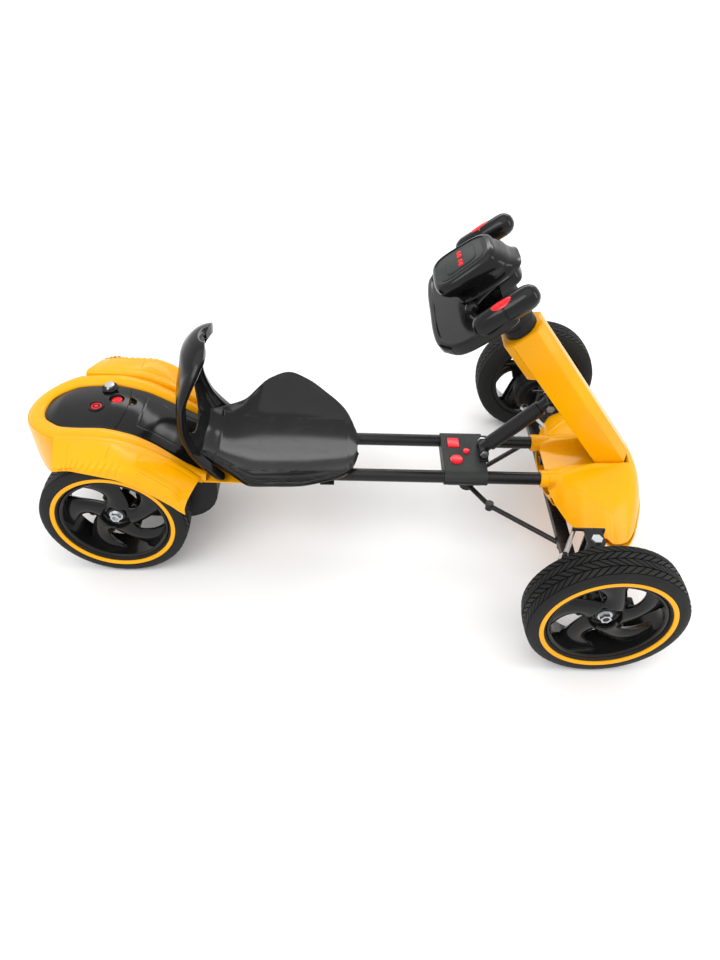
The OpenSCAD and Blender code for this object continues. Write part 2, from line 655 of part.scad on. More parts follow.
// Pod: a rounded hood that stands on the tray and carries the rocker plate
module wheel_pod() color(gloss_black) on_column(steer_t + 7.2) difference() {
    hull() {
        translate([-18, 0, 0]) linear_extrude(2) square([96, 96], center = true);
        for (y = [-34, 34]) for (x = [-46, 20]) translate([x, y + sign(y) * x / 20, 38]) sphere(r = 9, $fn = 24);
        translate([42, 0, 6]) scale([0.5, 1, 1]) sphere(r = 44, $fn = 24);
    }
    translate([-80, -80, -60]) cube([200, 160, 60]);
    for (y = [-12, 12]) translate([-16 - 7.6, y - 9.6, 38]) cube([15.2, 19.2, 20]);
}
module pod_rocker(y) color(red) on_column(steer_t + 7.2) translate([-16, y, 47]) {
    translate([-7, -9, -5]) cube([14, 18, 5]);
    for (s = [-4.5, 4.5]) translate([0, s, -1]) sphere(r = 3.6);
}

// ---------------------------------------------------------------- front wheels' carriers
ball_at = [front_x - arm_len, kingpin_y - arm_in, arm_z];
module knuckle_left() color(satin_black) difference() {
    union() {
        translate([front_x, kingpin_y, yoke_low + yoke_plate + seam])
            cylinder(h = yoke_high - yoke_low - 2 * yoke_plate - 2 * seam, r = 13);
        cross_bar(front_x, wheel_r, kingpin_y, kingpin_y + 16 - seam, 11);
        cross_bar(front_x, wheel_r, kingpin_y + 8, front_y + 16, spindle_r);
        difference() {
            bar([front_x, kingpin_y, arm_z], [ball_at.x, ball_at.y, arm_z], 7);
            block([front_x - 60, 0, 0], [front_x + 60, 400, arm_z - arm_plate / 2]);
            block([front_x - 60, 0, arm_z + arm_plate / 2], [front_x + 60, 400, 200]);
        }
        translate([ball_at.x, ball_at.y, arm_z - arm_plate / 2]) cylinder(h = arm_plate, r = 8);
        translate([ball_at.x, ball_at.y, arm_z]) cylinder(h = rod_level[0] + 5 - arm_z, r = 4);
    }
    translate([front_x, kingpin_y, 0]) cylinder(h = 300, r = kingpin_r + running_gap);
}
module gearbox_left() color(satin_black) difference() {
    union() {
        cross_bar(front_x, wheel_r, kingpin_y + 16, front_y - tyre_w / 2 - 8, 48);
        cross_bar(front_x, wheel_r, front_y - tyre_w / 2 - 9, front_y - tyre_w / 2 - 3, 40);
    }
    cross_bar(front_x, wheel_r, 0, front_y, spindle_r + 0.1);
}
// level lifts one rod above the other where their inner eyes meet on the drop arm's pin
module tie_rod(side, level) color(steel) difference() {
    union() {
        bar([ball_at.x, side * ball_at.y, level], [pin_at.x, 0, level], 4);
        translate([ball_at.x, side * ball_at.y, level - 3]) cylinder(h = 6, r = 8);
        translate([pin_at.x, 0, level - 2.3]) cylinder(h = 4.6, r = pin_r + eye_clear + 4);
    }
    translate([ball_at.x, side * ball_at.y, 100]) cylinder(h = 60, r = 4 + running_gap);
    translate([pin_at.x, 0, 100]) cylinder(h = 60, r = pin_r + eye_clear);
    translate([pin_at.x, 0, level + 2.3]) cylinder(h = 10, r = pin_r + eye_clear + 5);
    translate([pin_at.x, 0, level - 12.3]) cylinder(h = 10, r = pin_r + eye_clear + 5);
}

// ---------------------------------------------------------------- front fairing
// Half width, lower edge and crest of the nose shell, by distance from the front axle
nose_half = [[-42, 62], [-29, 90], [-15, 125], [6, 155], [35, 168], [50, 172], [72, 165], [88, 146],
             [103, 111], [114, 74], [119, 30]];
nose_edge = [[-42, 139], [-29, 124], [-15, 121], [6, 128], [35, 131], [50, 122], [88, 119], [103, 128],
             [119, 140]];
nose_crest = [[-42, 164], [0, 171], [60, 173], [98, 167], [112, 160], [119, 150]];
nose_x = [-42, -29, -15, 6, 35, 50, 72, 88, 96, 103, 109, 114, 119];
nose_power = 2.6;
function nose_z(d, y) = lookup(d, nose_edge)
    + (lookup(d, nose_crest) - lookup(d, nose_edge)) * (1 - pow(abs(y) / lookup(d, nose_half), nose_power));

module fairing_upper() color(yellow) difference() {
    union() {
        difference() {
            skin([for (d = nose_x) wall_ring(fx(d), lookup(d, nose_half), lookup(d, nose_edge),
                lookup(d, nose_crest) - lookup(d, nose_edge), nose_power, body_wall)]);
            block([fx(-50), -rail_y + 16, 156], [fx(104), rail_y - 16, 190]);
        }
        block([fx(-42), -rail_y + 15, 150], [fx(22), rail_y - 15, 152.5]);
        both_sides() block([fx(-42), rail_y - 17, 150], [fx(22), rail_y - 15, 158]);
        both_sides() long_bar(fx(-54), fx(-34), rail_y, rail_z, rail_r + 4.5);
    }
    both_sides() long_bar(fx(-60), fx(78), rail_y, rail_z, rail_r + 0.3);
    on_column(-30) linear_extrude(90) shroud_outline(-0.3);
}

// Lower pan: a shallow dish under the nose, slotted for the beam's posts and the tie rods
module fairing_lower() color(yellow) difference() {
    union() {
        skin([for (d = nose_x) wall_ring(fx(d < 0 ? d * 0.86 : d * 0.985), lookup(d, nose_half) + 6,
            lookup(d, nose_edge) - 6, 103 - lookup(d, nose_edge) + 6, 3, body_wall)]);
        both_sides() for (d = [62, 92]) translate([fx(d), pan_post_y(d), 104])
            cylinder(h = nose_z(d, pan_post_y(d) + 5) - body_wall - 106, r = 5);
    }
    both_sides() {
        block([fx(-32), rail_y - 10, 90], [fx(-8), rail_y + 10, 160]);
        block([fx(-34), 68, 106], [fx(28), 190, 160]);
    }
}
function pan_post_y(d) = lookup(d, nose_half) * 0.55;

// ---------------------------------------------------------------- mirrored and repeated pieces
module rail_left() rail(1);
module rail_right() rail(-1);
module fender_right() mirror([0, 1, 0]) fender_left();
module pod_rocker_left() pod_rocker(12);
module pod_rocker_right() pod_rocker(-12);
module thumb_pad_right() mirror([0, 1, 0]) thumb_pad_left();
module tie_rod_left() tie_rod(1, rod_level[0]);
module tie_rod_right() tie_rod(-1, rod_level[1]);
module knuckle_right() mirror([0, 1, 0]) knuckle_left();
module gearbox_right() mirror([0, 1, 0]) gearbox_left();
module hub_nut_right() mirror([0, 1, 0]) hub_nut_left();
module wheel_at(x) translate([x, 0, 0]) children();
module tyre_front_left() wheel_at(front_x) tyre(front_y);
module tyre_front_right() wheel_at(front_x) tyre(-front_y);
module tyre_rear_left() wheel_at(rear_x) tyre(rear_y);
module tyre_rear_right() wheel_at(rear_x) tyre(-rear_y);
module rim_front_left() wheel_at(front_x) rim(front_y, 1);
module rim_front_right() wheel_at(front_x) rim(-front_y, -1);
module rim_rear_left() wheel_at(rear_x) rim(rear_y, 1);
module rim_rear_right() wheel_at(rear_x) rim(-rear_y, -1);

rail_left();
rail_right();
front_frame();
kingpins();
rear_axle();
rear_axle_brackets();
rear_axle_nuts();
rear_body();
fender_left();
fender_right();
deck_panel();
belly_tray();
battery();
seat();
seat_brackets();
frame_bolts();
box_upper();
box_lower();
stay_rods();
strut();
strut_brackets();
column_tube();
column_foot();
shroud_front();
shroud_rear();
fairing_upper();
fairing_lower();
battery_lid();
latch_plate();
latch_knob();
power_button();
charge_button();
direction_rocker();
speed_button();
start_button();
steering_shaft();
steering_collar();
steering_wheel();
wheel_pod();
drop_arm();
pod_rocker_left();
pod_rocker_right();
thumb_pad_left();
thumb_pad_right();
tie_rod_left();
tie_rod_right();
knuckle_left();
knuckle_right();
gearbox_left();
gearbox_right();
hub_nut_left();
hub_nut_right();
tyre_front_left();
tyre_front_right();
tyre_rear_left();
tyre_rear_right();
rim_front_left();
rim_front_right();
rim_rear_left();
rim_rear_right();
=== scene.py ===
"""Looks of the battery kart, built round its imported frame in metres."""

import bisect
import json
import logging
import math
from dataclasses import dataclass, field
from enum import Enum
from typing import Callable, Iterable, Sequence

import bmesh
import bpy
from mathutils import Matrix, Vector

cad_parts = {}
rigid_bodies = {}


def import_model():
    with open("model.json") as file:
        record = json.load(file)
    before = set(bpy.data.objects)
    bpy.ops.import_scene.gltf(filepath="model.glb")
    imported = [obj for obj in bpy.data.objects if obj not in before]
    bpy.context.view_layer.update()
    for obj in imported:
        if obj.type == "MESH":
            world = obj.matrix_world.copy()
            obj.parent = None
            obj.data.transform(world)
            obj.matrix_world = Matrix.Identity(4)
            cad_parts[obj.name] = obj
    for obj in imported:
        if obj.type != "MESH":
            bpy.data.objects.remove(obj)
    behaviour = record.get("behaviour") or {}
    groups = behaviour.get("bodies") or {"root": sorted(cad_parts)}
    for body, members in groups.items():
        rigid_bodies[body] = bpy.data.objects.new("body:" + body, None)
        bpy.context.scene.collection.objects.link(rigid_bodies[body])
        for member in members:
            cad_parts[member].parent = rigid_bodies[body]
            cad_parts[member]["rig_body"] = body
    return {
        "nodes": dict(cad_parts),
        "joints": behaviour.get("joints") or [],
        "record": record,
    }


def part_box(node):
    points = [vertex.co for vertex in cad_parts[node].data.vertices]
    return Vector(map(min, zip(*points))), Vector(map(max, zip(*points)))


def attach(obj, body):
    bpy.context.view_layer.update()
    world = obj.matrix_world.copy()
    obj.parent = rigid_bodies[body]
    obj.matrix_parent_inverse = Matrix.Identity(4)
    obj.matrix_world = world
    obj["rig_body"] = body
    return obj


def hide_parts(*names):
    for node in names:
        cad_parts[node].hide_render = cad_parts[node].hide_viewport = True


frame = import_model()

MM = 0.001
SHELL = 2.2  # wall of the moulded shells, in millimetres
UP = Vector((0, 0, 1))
UPRIGHT = Matrix.Rotation(math.pi / 2, 4, "X")  # stands a piece that was turned round Y
SIDES = ((1, "left"), (-1, "right"))
log = logging.getLogger("kart")
Mesh = bmesh.types.BMesh
Socket = bpy.types.NodeSocket
Sockets = bpy.types.bpy_prop_collection
Place = Callable[[float, float], Vector]


class Slot(Enum):
    """The record's material slots."""

    YELLOW = "yellow_plastic"
    GLOSS = "black_gloss"
    SATIN = "black_satin"
    GREY = "grey_satin"
    RED = "red_plastic"
    PAINT = "black_paint"
    SATIN_PAINT = "satin_paint"
    ZINC = "zinc_steel"
    TYRE = "tyre"
    BATTERY = "battery_case"


@dataclass(frozen=True)
class Track:
    """A smooth curve through stations, for a size that changes along the kart."""

    stations: tuple[tuple[float, float], ...]

    def at(self, x: float) -> float:
        """Reads the curve.

        Args:
            x: Place along the curve.

        Returns:
            The size there, held level past both ends.
        """
        xs = [s[0] for s in self.stations]
        ys = [s[1] for s in self.stations]
        if x <= xs[0]:
            return ys[0]
        if x >= xs[-1]:
            return ys[-1]
        i = bisect.bisect_right(xs, x) - 1
        h = xs[i + 1] - xs[i]
        t = (x - xs[i]) / h
        m0, m1 = self._slope(xs, ys, i), self._slope(xs, ys, i + 1)
        a = (2 * t**3 - 3 * t**2 + 1) * ys[i] + (t**3 - 2 * t**2 + t) * h * m0
        return a + (3 * t**2 - 2 * t**3) * ys[i + 1] + (t**3 - t**2) * h * m1

    @staticmethod
    def _slope(xs: Sequence[float], ys: Sequence[float], i: int) -> float:
        """Gives a slope at station i that never overshoots its neighbours.

        Args:
            xs: Places of the stations.
            ys: Sizes at the stations.
            i: Number of the station.

        Returns:
            The slope.
        """
        if i in (0, len(xs) - 1):
            j = min(i, len(xs) - 2)
            return (ys[j + 1] - ys[j]) / (xs[j + 1] - xs[j])
        a = (ys[i] - ys[i - 1]) / (xs[i] - xs[i - 1])
        b = (ys[i + 1] - ys[i]) / (xs[i + 1] - xs[i])
        return 0.0 if a * b <= 0 else 2 * a * b / (a + b)


@dataclass(frozen=True)
class Path:
    """A smooth line through points, read from 0 to 1."""

    points: tuple[tuple[float, ...], ...]

    def at(self, t: float) -> list[float]:
        """Reads the line.

        Args:
            t: From 0 at the first point to 1 at the last.

        Returns:
            The point's coordinates.
        """
        p = self.points
        s = min(max(t, 0.0), 1.0) * (len(p) - 1)
        i = min(int(s), len(p) - 2)
        f = s - i
        q = [p[max(i - 1, 0)], p[i], p[i + 1], p[min(i + 2, len(p) - 1)]]
        return [
            0.5 * (2 * b + (c - a) * f + (2 * a - 5 * b + 4 * c - d) * f * f + (3 * b - a - 3 * c + d) * f**3)
            for a, b, c, d in zip(*q)
        ]


def step(low: float, high: float, x: float) -> float:
    """Rises smoothly from 0 at low to 1 at high."""
    t = min(max((x - low) / (high - low), 0.0), 1.0)
    return t * t * (3 - 2 * t)


def squarish(angle: float, power: float) -> tuple[float, float]:
    """Gives a point of a unit circle that is pulled towards a square; a low power pulls more."""
    x, y = math.cos(angle), math.sin(angle)
    return math.copysign(abs(x) ** power, x), math.copysign(abs(y) ** power, y)


def groove(distance: float, half: float) -> float:
    """Depth, 0 to 1, of a line's groove at a distance from its middle."""
    return max(0.0, 1 - (distance / half) ** 2)


def middle(node: str) -> Vector:
    """Gives the middle of a CAD node's box, in metres."""
    low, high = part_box(node)
    return (low + high) / 2


def shift(x: float = 0, y: float = 0, z: float = 0) -> Matrix:
    """Gives the matrix of a move in millimetres."""
    return Matrix.Translation(Vector((x, y, z)) * MM)


def axes(x: Vector, y: Vector, z: Vector) -> Matrix:
    """Gives the matrix that turns to three axes."""
    return Matrix((x, y, z)).transposed().to_4x4()


def show(name: str, data: bpy.types.ID) -> bpy.types.Object:
    """Puts a new object into the scene.

    Args:
        name: Name of the object.
        data: Its mesh, light or camera.

    Returns:
        The object.
    """
    thing = bpy.data.objects.new(name, data)
    bpy.context.scene.collection.objects.link(thing)
    return thing


class Mould:
    """Starts, shapes and finishes pieces."""

    def __init__(self, shop: "PaintShop") -> None:
        """Keeps the finishes.

        Args:
            shop: Gives each slot's material.
        """
        self.shop = shop

    @staticmethod
    def sheet(nu: int, nv: int, place: Place) -> Mesh:
        """Makes a sheet whose points are placed by a function.

        Args:
            nu: Faces along the first way.
            nv: Faces along the second way.
            place: Gives a point in millimetres for two numbers from 0 to 1.

        Returns:
            The sheet, in metres.
        """
        bm = bmesh.new()
        bmesh.ops.create_grid(bm, x_segments=nu, y_segments=nv, size=0.5)
        for v in bm.verts:
            v.co = place(v.co.x + 0.5, v.co.y + 0.5) * MM
        return bm

    @staticmethod
    def wall(bm: Mesh, thick: float, outward: Vector = UP) -> None:
        """Gives an open sheet its thickness, away from its outer face.

        Args:
            bm: The sheet.
            thick: Thickness in millimetres.
            outward: The way that most faces should look.
        """
        Mould.face(bm, outward)
        tag = bm.verts.layers.int.new("order")
        moves = [v.normal * (-thick * MM) for v in bm.verts]
        for i, v in enumerate(bm.verts):
            v[tag] = i
        for v in Mould.doubled(bm):
            v.co += moves[v[tag]]
        bmesh.ops.recalc_face_normals(bm, faces=bm.faces)

    @staticmethod
    def face(bm: Mesh, outward: Vector) -> None:
        """Turns a sheet's faces over if most of them look the wrong way.

        Args:
            bm: The sheet.
            outward: The way that they should look.
        """
        total = sum((f.normal * f.calc_area() for f in bm.faces), Vector())
        if total.dot(outward) < 0:
            bmesh.ops.reverse_faces(bm, faces=bm.faces)
        bm.normal_update()

    @staticmethod
    def doubled(bm: Mesh) -> list[bmesh.types.BMVert]:
        """Lays a second sheet over a sheet, joined at its edges, and gives its points."""
        layer = bmesh.ops.extrude_face_region(bm, geom=bm.faces[:], use_keep_orig=True)["geom"]
        return [v for v in layer if isinstance(v, bmesh.types.BMVert)]

    @staticmethod
    def block(*size: float) -> Mesh:
        """Makes a block round the origin.

        Args:
            *size: Its three sizes in millimetres.

        Returns:
            The block.
        """
        bm = bmesh.new()
        bmesh.ops.create_cube(bm, size=MM)
        bmesh.ops.scale(bm, vec=size, verts=bm.verts)
        return bm

    @staticmethod
    def lathe(profile: Iterable[tuple[float, float]], steps: int) -> Mesh:
        """Turns a profile round the Y axis.

        Args:
            profile: Radius and height pairs in millimetres.
            steps: Faces in a full turn.

        Returns:
            The turned shape, closed, with its faces outwards.
        """
        bm = bmesh.new()
        verts = [bm.verts.new((r * MM, y * MM, 0)) for r, y in profile]
        edges = [bm.edges.new(pair) for pair in zip(verts, verts[1:])]
        bmesh.ops.spin(
            bm, geom=verts + edges, cent=(0, 0, 0), axis=(0, 1, 0), angle=math.tau, steps=steps, use_merge=True
        )
        bmesh.ops.remove_doubles(bm, verts=bm.verts, dist=1e-6)
        bmesh.ops.recalc_face_normals(bm, faces=bm.faces)
        return bm

    @staticmethod
    def plate(outline: Sequence[Sequence[float]], thick: float) -> Mesh:
        """Makes a flat plate from an outline, standing up from z = 0.

        Args:
            outline: Corners in millimetres, in order.
            thick: Height in millimetres.

        Returns:
            The plate.
        """
        bm = bmesh.new()
        face = bm.faces.new([bm.verts.new((p[0] * MM, p[1] * MM, 0)) for p in outline])
        top = [
            g for g in bmesh.ops.extrude_face_region(bm, geom=[face])["geom"] if isinstance(g, bmesh.types.BMVert)
        ]
        bmesh.ops.translate(bm, verts=top, vec=(0, 0, thick * MM))
        bmesh.ops.recalc_face_normals(bm, faces=bm.faces)
        return bm

    @staticmethod
    def round_edges(bm: Mesh, width: float, segments: int = 2, angle: float = 30) -> None:
        """Rounds every edge that is sharper than an angle.

        Args:
            bm: The mesh.
            width: Size of the round in millimetres.
            segments: Faces across the round.
            angle: Smallest angle that is rounded, in degrees.
        """
        bm.normal_update()
        sharp = [e for e in bm.edges if len(e.link_faces) == 2 and e.calc_face_angle(0) > math.radians(angle)]
        Mould.bevel(bm, sharp, width, segments)

    @staticmethod
    def bevel(bm: Mesh, edges: Sequence[bmesh.types.BMEdge], width: float, segments: int) -> None:
        """Rounds some edges.

        Args:
            bm: The mesh.
            edges: The edges.
            width: Size of the round in millimetres.
            segments: Faces across the round.
        """
        bmesh.ops.bevel(
            bm, geom=edges, offset=width * MM, offset_type="OFFSET", segments=segments, profile=0.5,
            affect="EDGES", clamp_overlap=True, material=-1,
        )

    @staticmethod
    def merge(bm: Mesh, other: Mesh, matrix: Matrix | None = None) -> None:
        """Adds one mesh to another and frees it.

        Args:
            bm: The mesh that grows.
            other: The mesh that is added.
            matrix: Where it goes.
        """
        if matrix is not None:
            bmesh.ops.transform(other, matrix=matrix, verts=other.verts)
        mesh = bpy.data.meshes.new("spare")
        other.to_mesh(mesh)
        other.free()
        bm.from_mesh(mesh)
        bpy.data.meshes.remove(mesh)

    def copy_of(self, node: str) -> Mesh:
        """Copies a CAD node's mesh with its triangles merged into whole faces.

        Args:
            node: Name of the node.

        Returns:
            The copy.
        """
        bm = bmesh.new()
        bm.from_mesh(frame["nodes"][node].data)
        bmesh.ops.remove_doubles(bm, verts=bm.verts, dist=2e-6)
        bmesh.ops.dissolve_limit(
            bm, angle_limit=math.radians(0.6), verts=bm.verts, edges=bm.edges, use_dissolve_boundaries=False
        )
        return bm

    def add(
        self, bm: Mesh, name: str, body: str, slot: Slot, replaces: Sequence[str] = (),
        matrix: Matrix | None = None, smooth: int = 0, crease: float = 32,
    ) -> bpy.types.Object:
        """Turns a mesh into a finished piece.

        Args:
            bm: The mesh, in metres; it is freed.
            name: Name of the piece.
            body: CAD body that it moves with.
            slot: Finish.
            replaces: CAD nodes that it stands for.
            matrix: Where the mesh goes in the kart's frame.
            smooth: Levels of subdivision.
            crease: Smallest angle that stays sharp, in degrees.

        Returns:
            The new object.
        """
        if matrix is not None:
            bmesh.ops.transform(bm, matrix=matrix, verts=bm.verts)
            if matrix.determinant() < 0:
                bmesh.ops.reverse_faces(bm, faces=bm.faces)
        mesh = bpy.data.meshes.new(name)
        bm.to_mesh(mesh)
        bm.free()
        mesh.shade_smooth()
        mesh.set_sharp_from_angle(angle=math.radians(180 if smooth else crease))
        piece = show(name, mesh)
        if smooth:
            sub = piece.modifiers.new("smooth", "SUBSURF")
            sub.levels = sub.render_levels = smooth
        mesh.materials.append(self.shop.material(slot))
        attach(piece, body)
        if replaces:
            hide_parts(*replaces)
        log.info("%s: %d faces on %s", name, len(mesh.polygons), body)
        return piece


@dataclass(frozen=True)
class Finish:
    """A surface: colours, gloss, and how it has worn."""

    colour: tuple[float, float, float]
    shade: tuple[float, float, float]
    rough: float
    rough_spread: float = 0.1
    metal: float = 0.0
    coat: float = 0.0
    grain_size: float = 900.0
    grain_depth: float = 0.05
    wear: float = 0.25
    worn: tuple[float, float, float] = (0.5, 0.5, 0.5)
    dust: float = 0.1
    round_mm: float = 0.6
    gleam: float = 0.5


FINISHES: dict[Slot, Finish] = {
    Slot.YELLOW: Finish(
        (0.93, 0.44, 0.0), (0.86, 0.33, 0.0), 0.24, 0.06, coat=0.05, grain_size=420, grain_depth=0.02,
        wear=0.12, worn=(1.0, 0.50, 0.02), dust=0.015, gleam=0.2,
    ),
    Slot.GLOSS: Finish(
        (0.004, 0.0042, 0.0042), (0.007, 0.0075, 0.0072), 0.13, 0.08, grain_size=350, grain_depth=0.015,
        wear=0.1, worn=(0.03, 0.03, 0.03), dust=0.008, gleam=0.26,
    ),
    Slot.SATIN: Finish(
        (0.006, 0.006, 0.0065), (0.011, 0.011, 0.012), 0.42, 0.12, grain_size=1500, grain_depth=0.1,
        wear=0.15, worn=(0.03, 0.03, 0.03), dust=0.015, gleam=0.2,
    ),
    Slot.GREY: Finish(
        (0.020, 0.023, 0.022), (0.030, 0.034, 0.032), 0.46, 0.1, grain_size=1700, grain_depth=0.12,
        wear=0.15, worn=(0.06, 0.06, 0.06), dust=0.02, gleam=0.2,
    ),
    Slot.RED: Finish(
        (0.90, 0.004, 0.016), (0.72, 0.001, 0.008), 0.22, 0.08, coat=0.1, grain_size=500, grain_depth=0.02,
        wear=0.15, worn=(1.0, 0.08, 0.09), dust=0.01, round_mm=0.5, gleam=0.35,
    ),
    Slot.PAINT: Finish(
        (0.005, 0.005, 0.0055), (0.009, 0.009, 0.0095), 0.27, 0.12, grain_size=700, grain_depth=0.06,
        wear=0.2, worn=(0.06, 0.055, 0.05), dust=0.015, round_mm=0.8, gleam=0.3,
    ),
    Slot.SATIN_PAINT: Finish(
        (0.006, 0.006, 0.0065), (0.011, 0.011, 0.0115), 0.36, 0.12, grain_size=900, grain_depth=0.08,
        wear=0.2, worn=(0.06, 0.055, 0.05), dust=0.015, round_mm=0.8, gleam=0.25,
    ),
    Slot.ZINC: Finish(
        (0.62, 0.63, 0.64), (0.48, 0.49, 0.50), 0.3, 0.2, metal=1.0, grain_size=1200, grain_depth=0.08,
        wear=0.5, worn=(0.85, 0.85, 0.85), dust=0.1, round_mm=0.5,
    ),
    Slot.TYRE: Finish(
        (0.008, 0.0085, 0.0085), (0.015, 0.016, 0.0155), 0.55, 0.15, grain_size=1100, grain_depth=0.15,
        wear=0.25, worn=(0.04, 0.042, 0.04), dust=0.03, round_mm=0.8, gleam=0.16,
    ),
    Slot.BATTERY: Finish(
        (0.03, 0.032, 0.036), (0.05, 0.052, 0.056), 0.5, grain_size=1500, grain_depth=0.15, dust=0.2,
    ),
}


DUST = (0.42, 0.38, 0.32)
Feed = Socket | float | tuple[float, ...]


class Graph:
    """Adds shader nodes to a tree, each with what feeds it."""

    def __init__(self, tree: bpy.types.NodeTree) -> None:
        """Keeps the tree that grows."""
        self.tree = tree

    def feed(self, node: bpy.types.Node, feeds: dict[str | int, Feed]) -> None:
        """Sets a node's inputs.

        Args:
            node: The node.
            feeds: For each input, its value or the socket that is linked to it.
        """
        for key, value in feeds.items():
            if isinstance(value, Socket):
                self.tree.links.new(value, node.inputs[key])
            else:
                node.inputs[key].default_value = value

    def add(self, kind: str, feeds: dict[str | int, Feed], **settings: object) -> bpy.types.Node:
        """Adds a node.

        Args:
            kind: Its type, without the prefix.
            feeds: For each input, its value or the socket that is linked to it.
            **settings: Its properties, set before the inputs.

        Returns:
            The node.
        """
        node = self.tree.nodes.new(f"ShaderNode{kind}")
        for key, value in settings.items():
            setattr(node, key, value)
        self.feed(node, feeds)
        return node

    def math(self, operation: str, *feeds: Feed) -> Socket:
        """Gives the result of a sum or a product."""
        return self.add("Math", dict(enumerate(feeds)), operation=operation).outputs[0]

    def ramp(self, value: Socket, low: float, high: float) -> Socket:
        """Turns a value to 0 at low and 1 at high."""
        return self.add("MapRange", {"Value": value, "From Min": low, "From Max": high}).outputs[0]

    def spot(self) -> Socket:
        """Gives the place on the piece."""
        return self.add("TexCoord", {}).outputs["Object"]

    def noise(self, **feeds: Feed) -> Socket:
        """Gives a noise over the piece, or over the Vector that is fed."""
        return self.add("TexNoise", {"Vector": self.spot(), **feeds}).outputs[0]

    def blend(self, mask: Socket, under: Feed, over: tuple[float, ...]) -> Socket:
        """Lays a colour over another one where a mask is 1."""
        return self.add("Mix", {"Factor": mask, 6: under, 7: (*over, 1)}, data_type="RGBA").outputs[2]

    def use(self, group: bpy.types.NodeTree, **feeds: Feed) -> Sockets:
        """Adds a node group and gives its outputs."""
        return self.add("Group", feeds, node_tree=group).outputs


Draw = Callable[[Graph, Sockets], dict[str, Socket]]


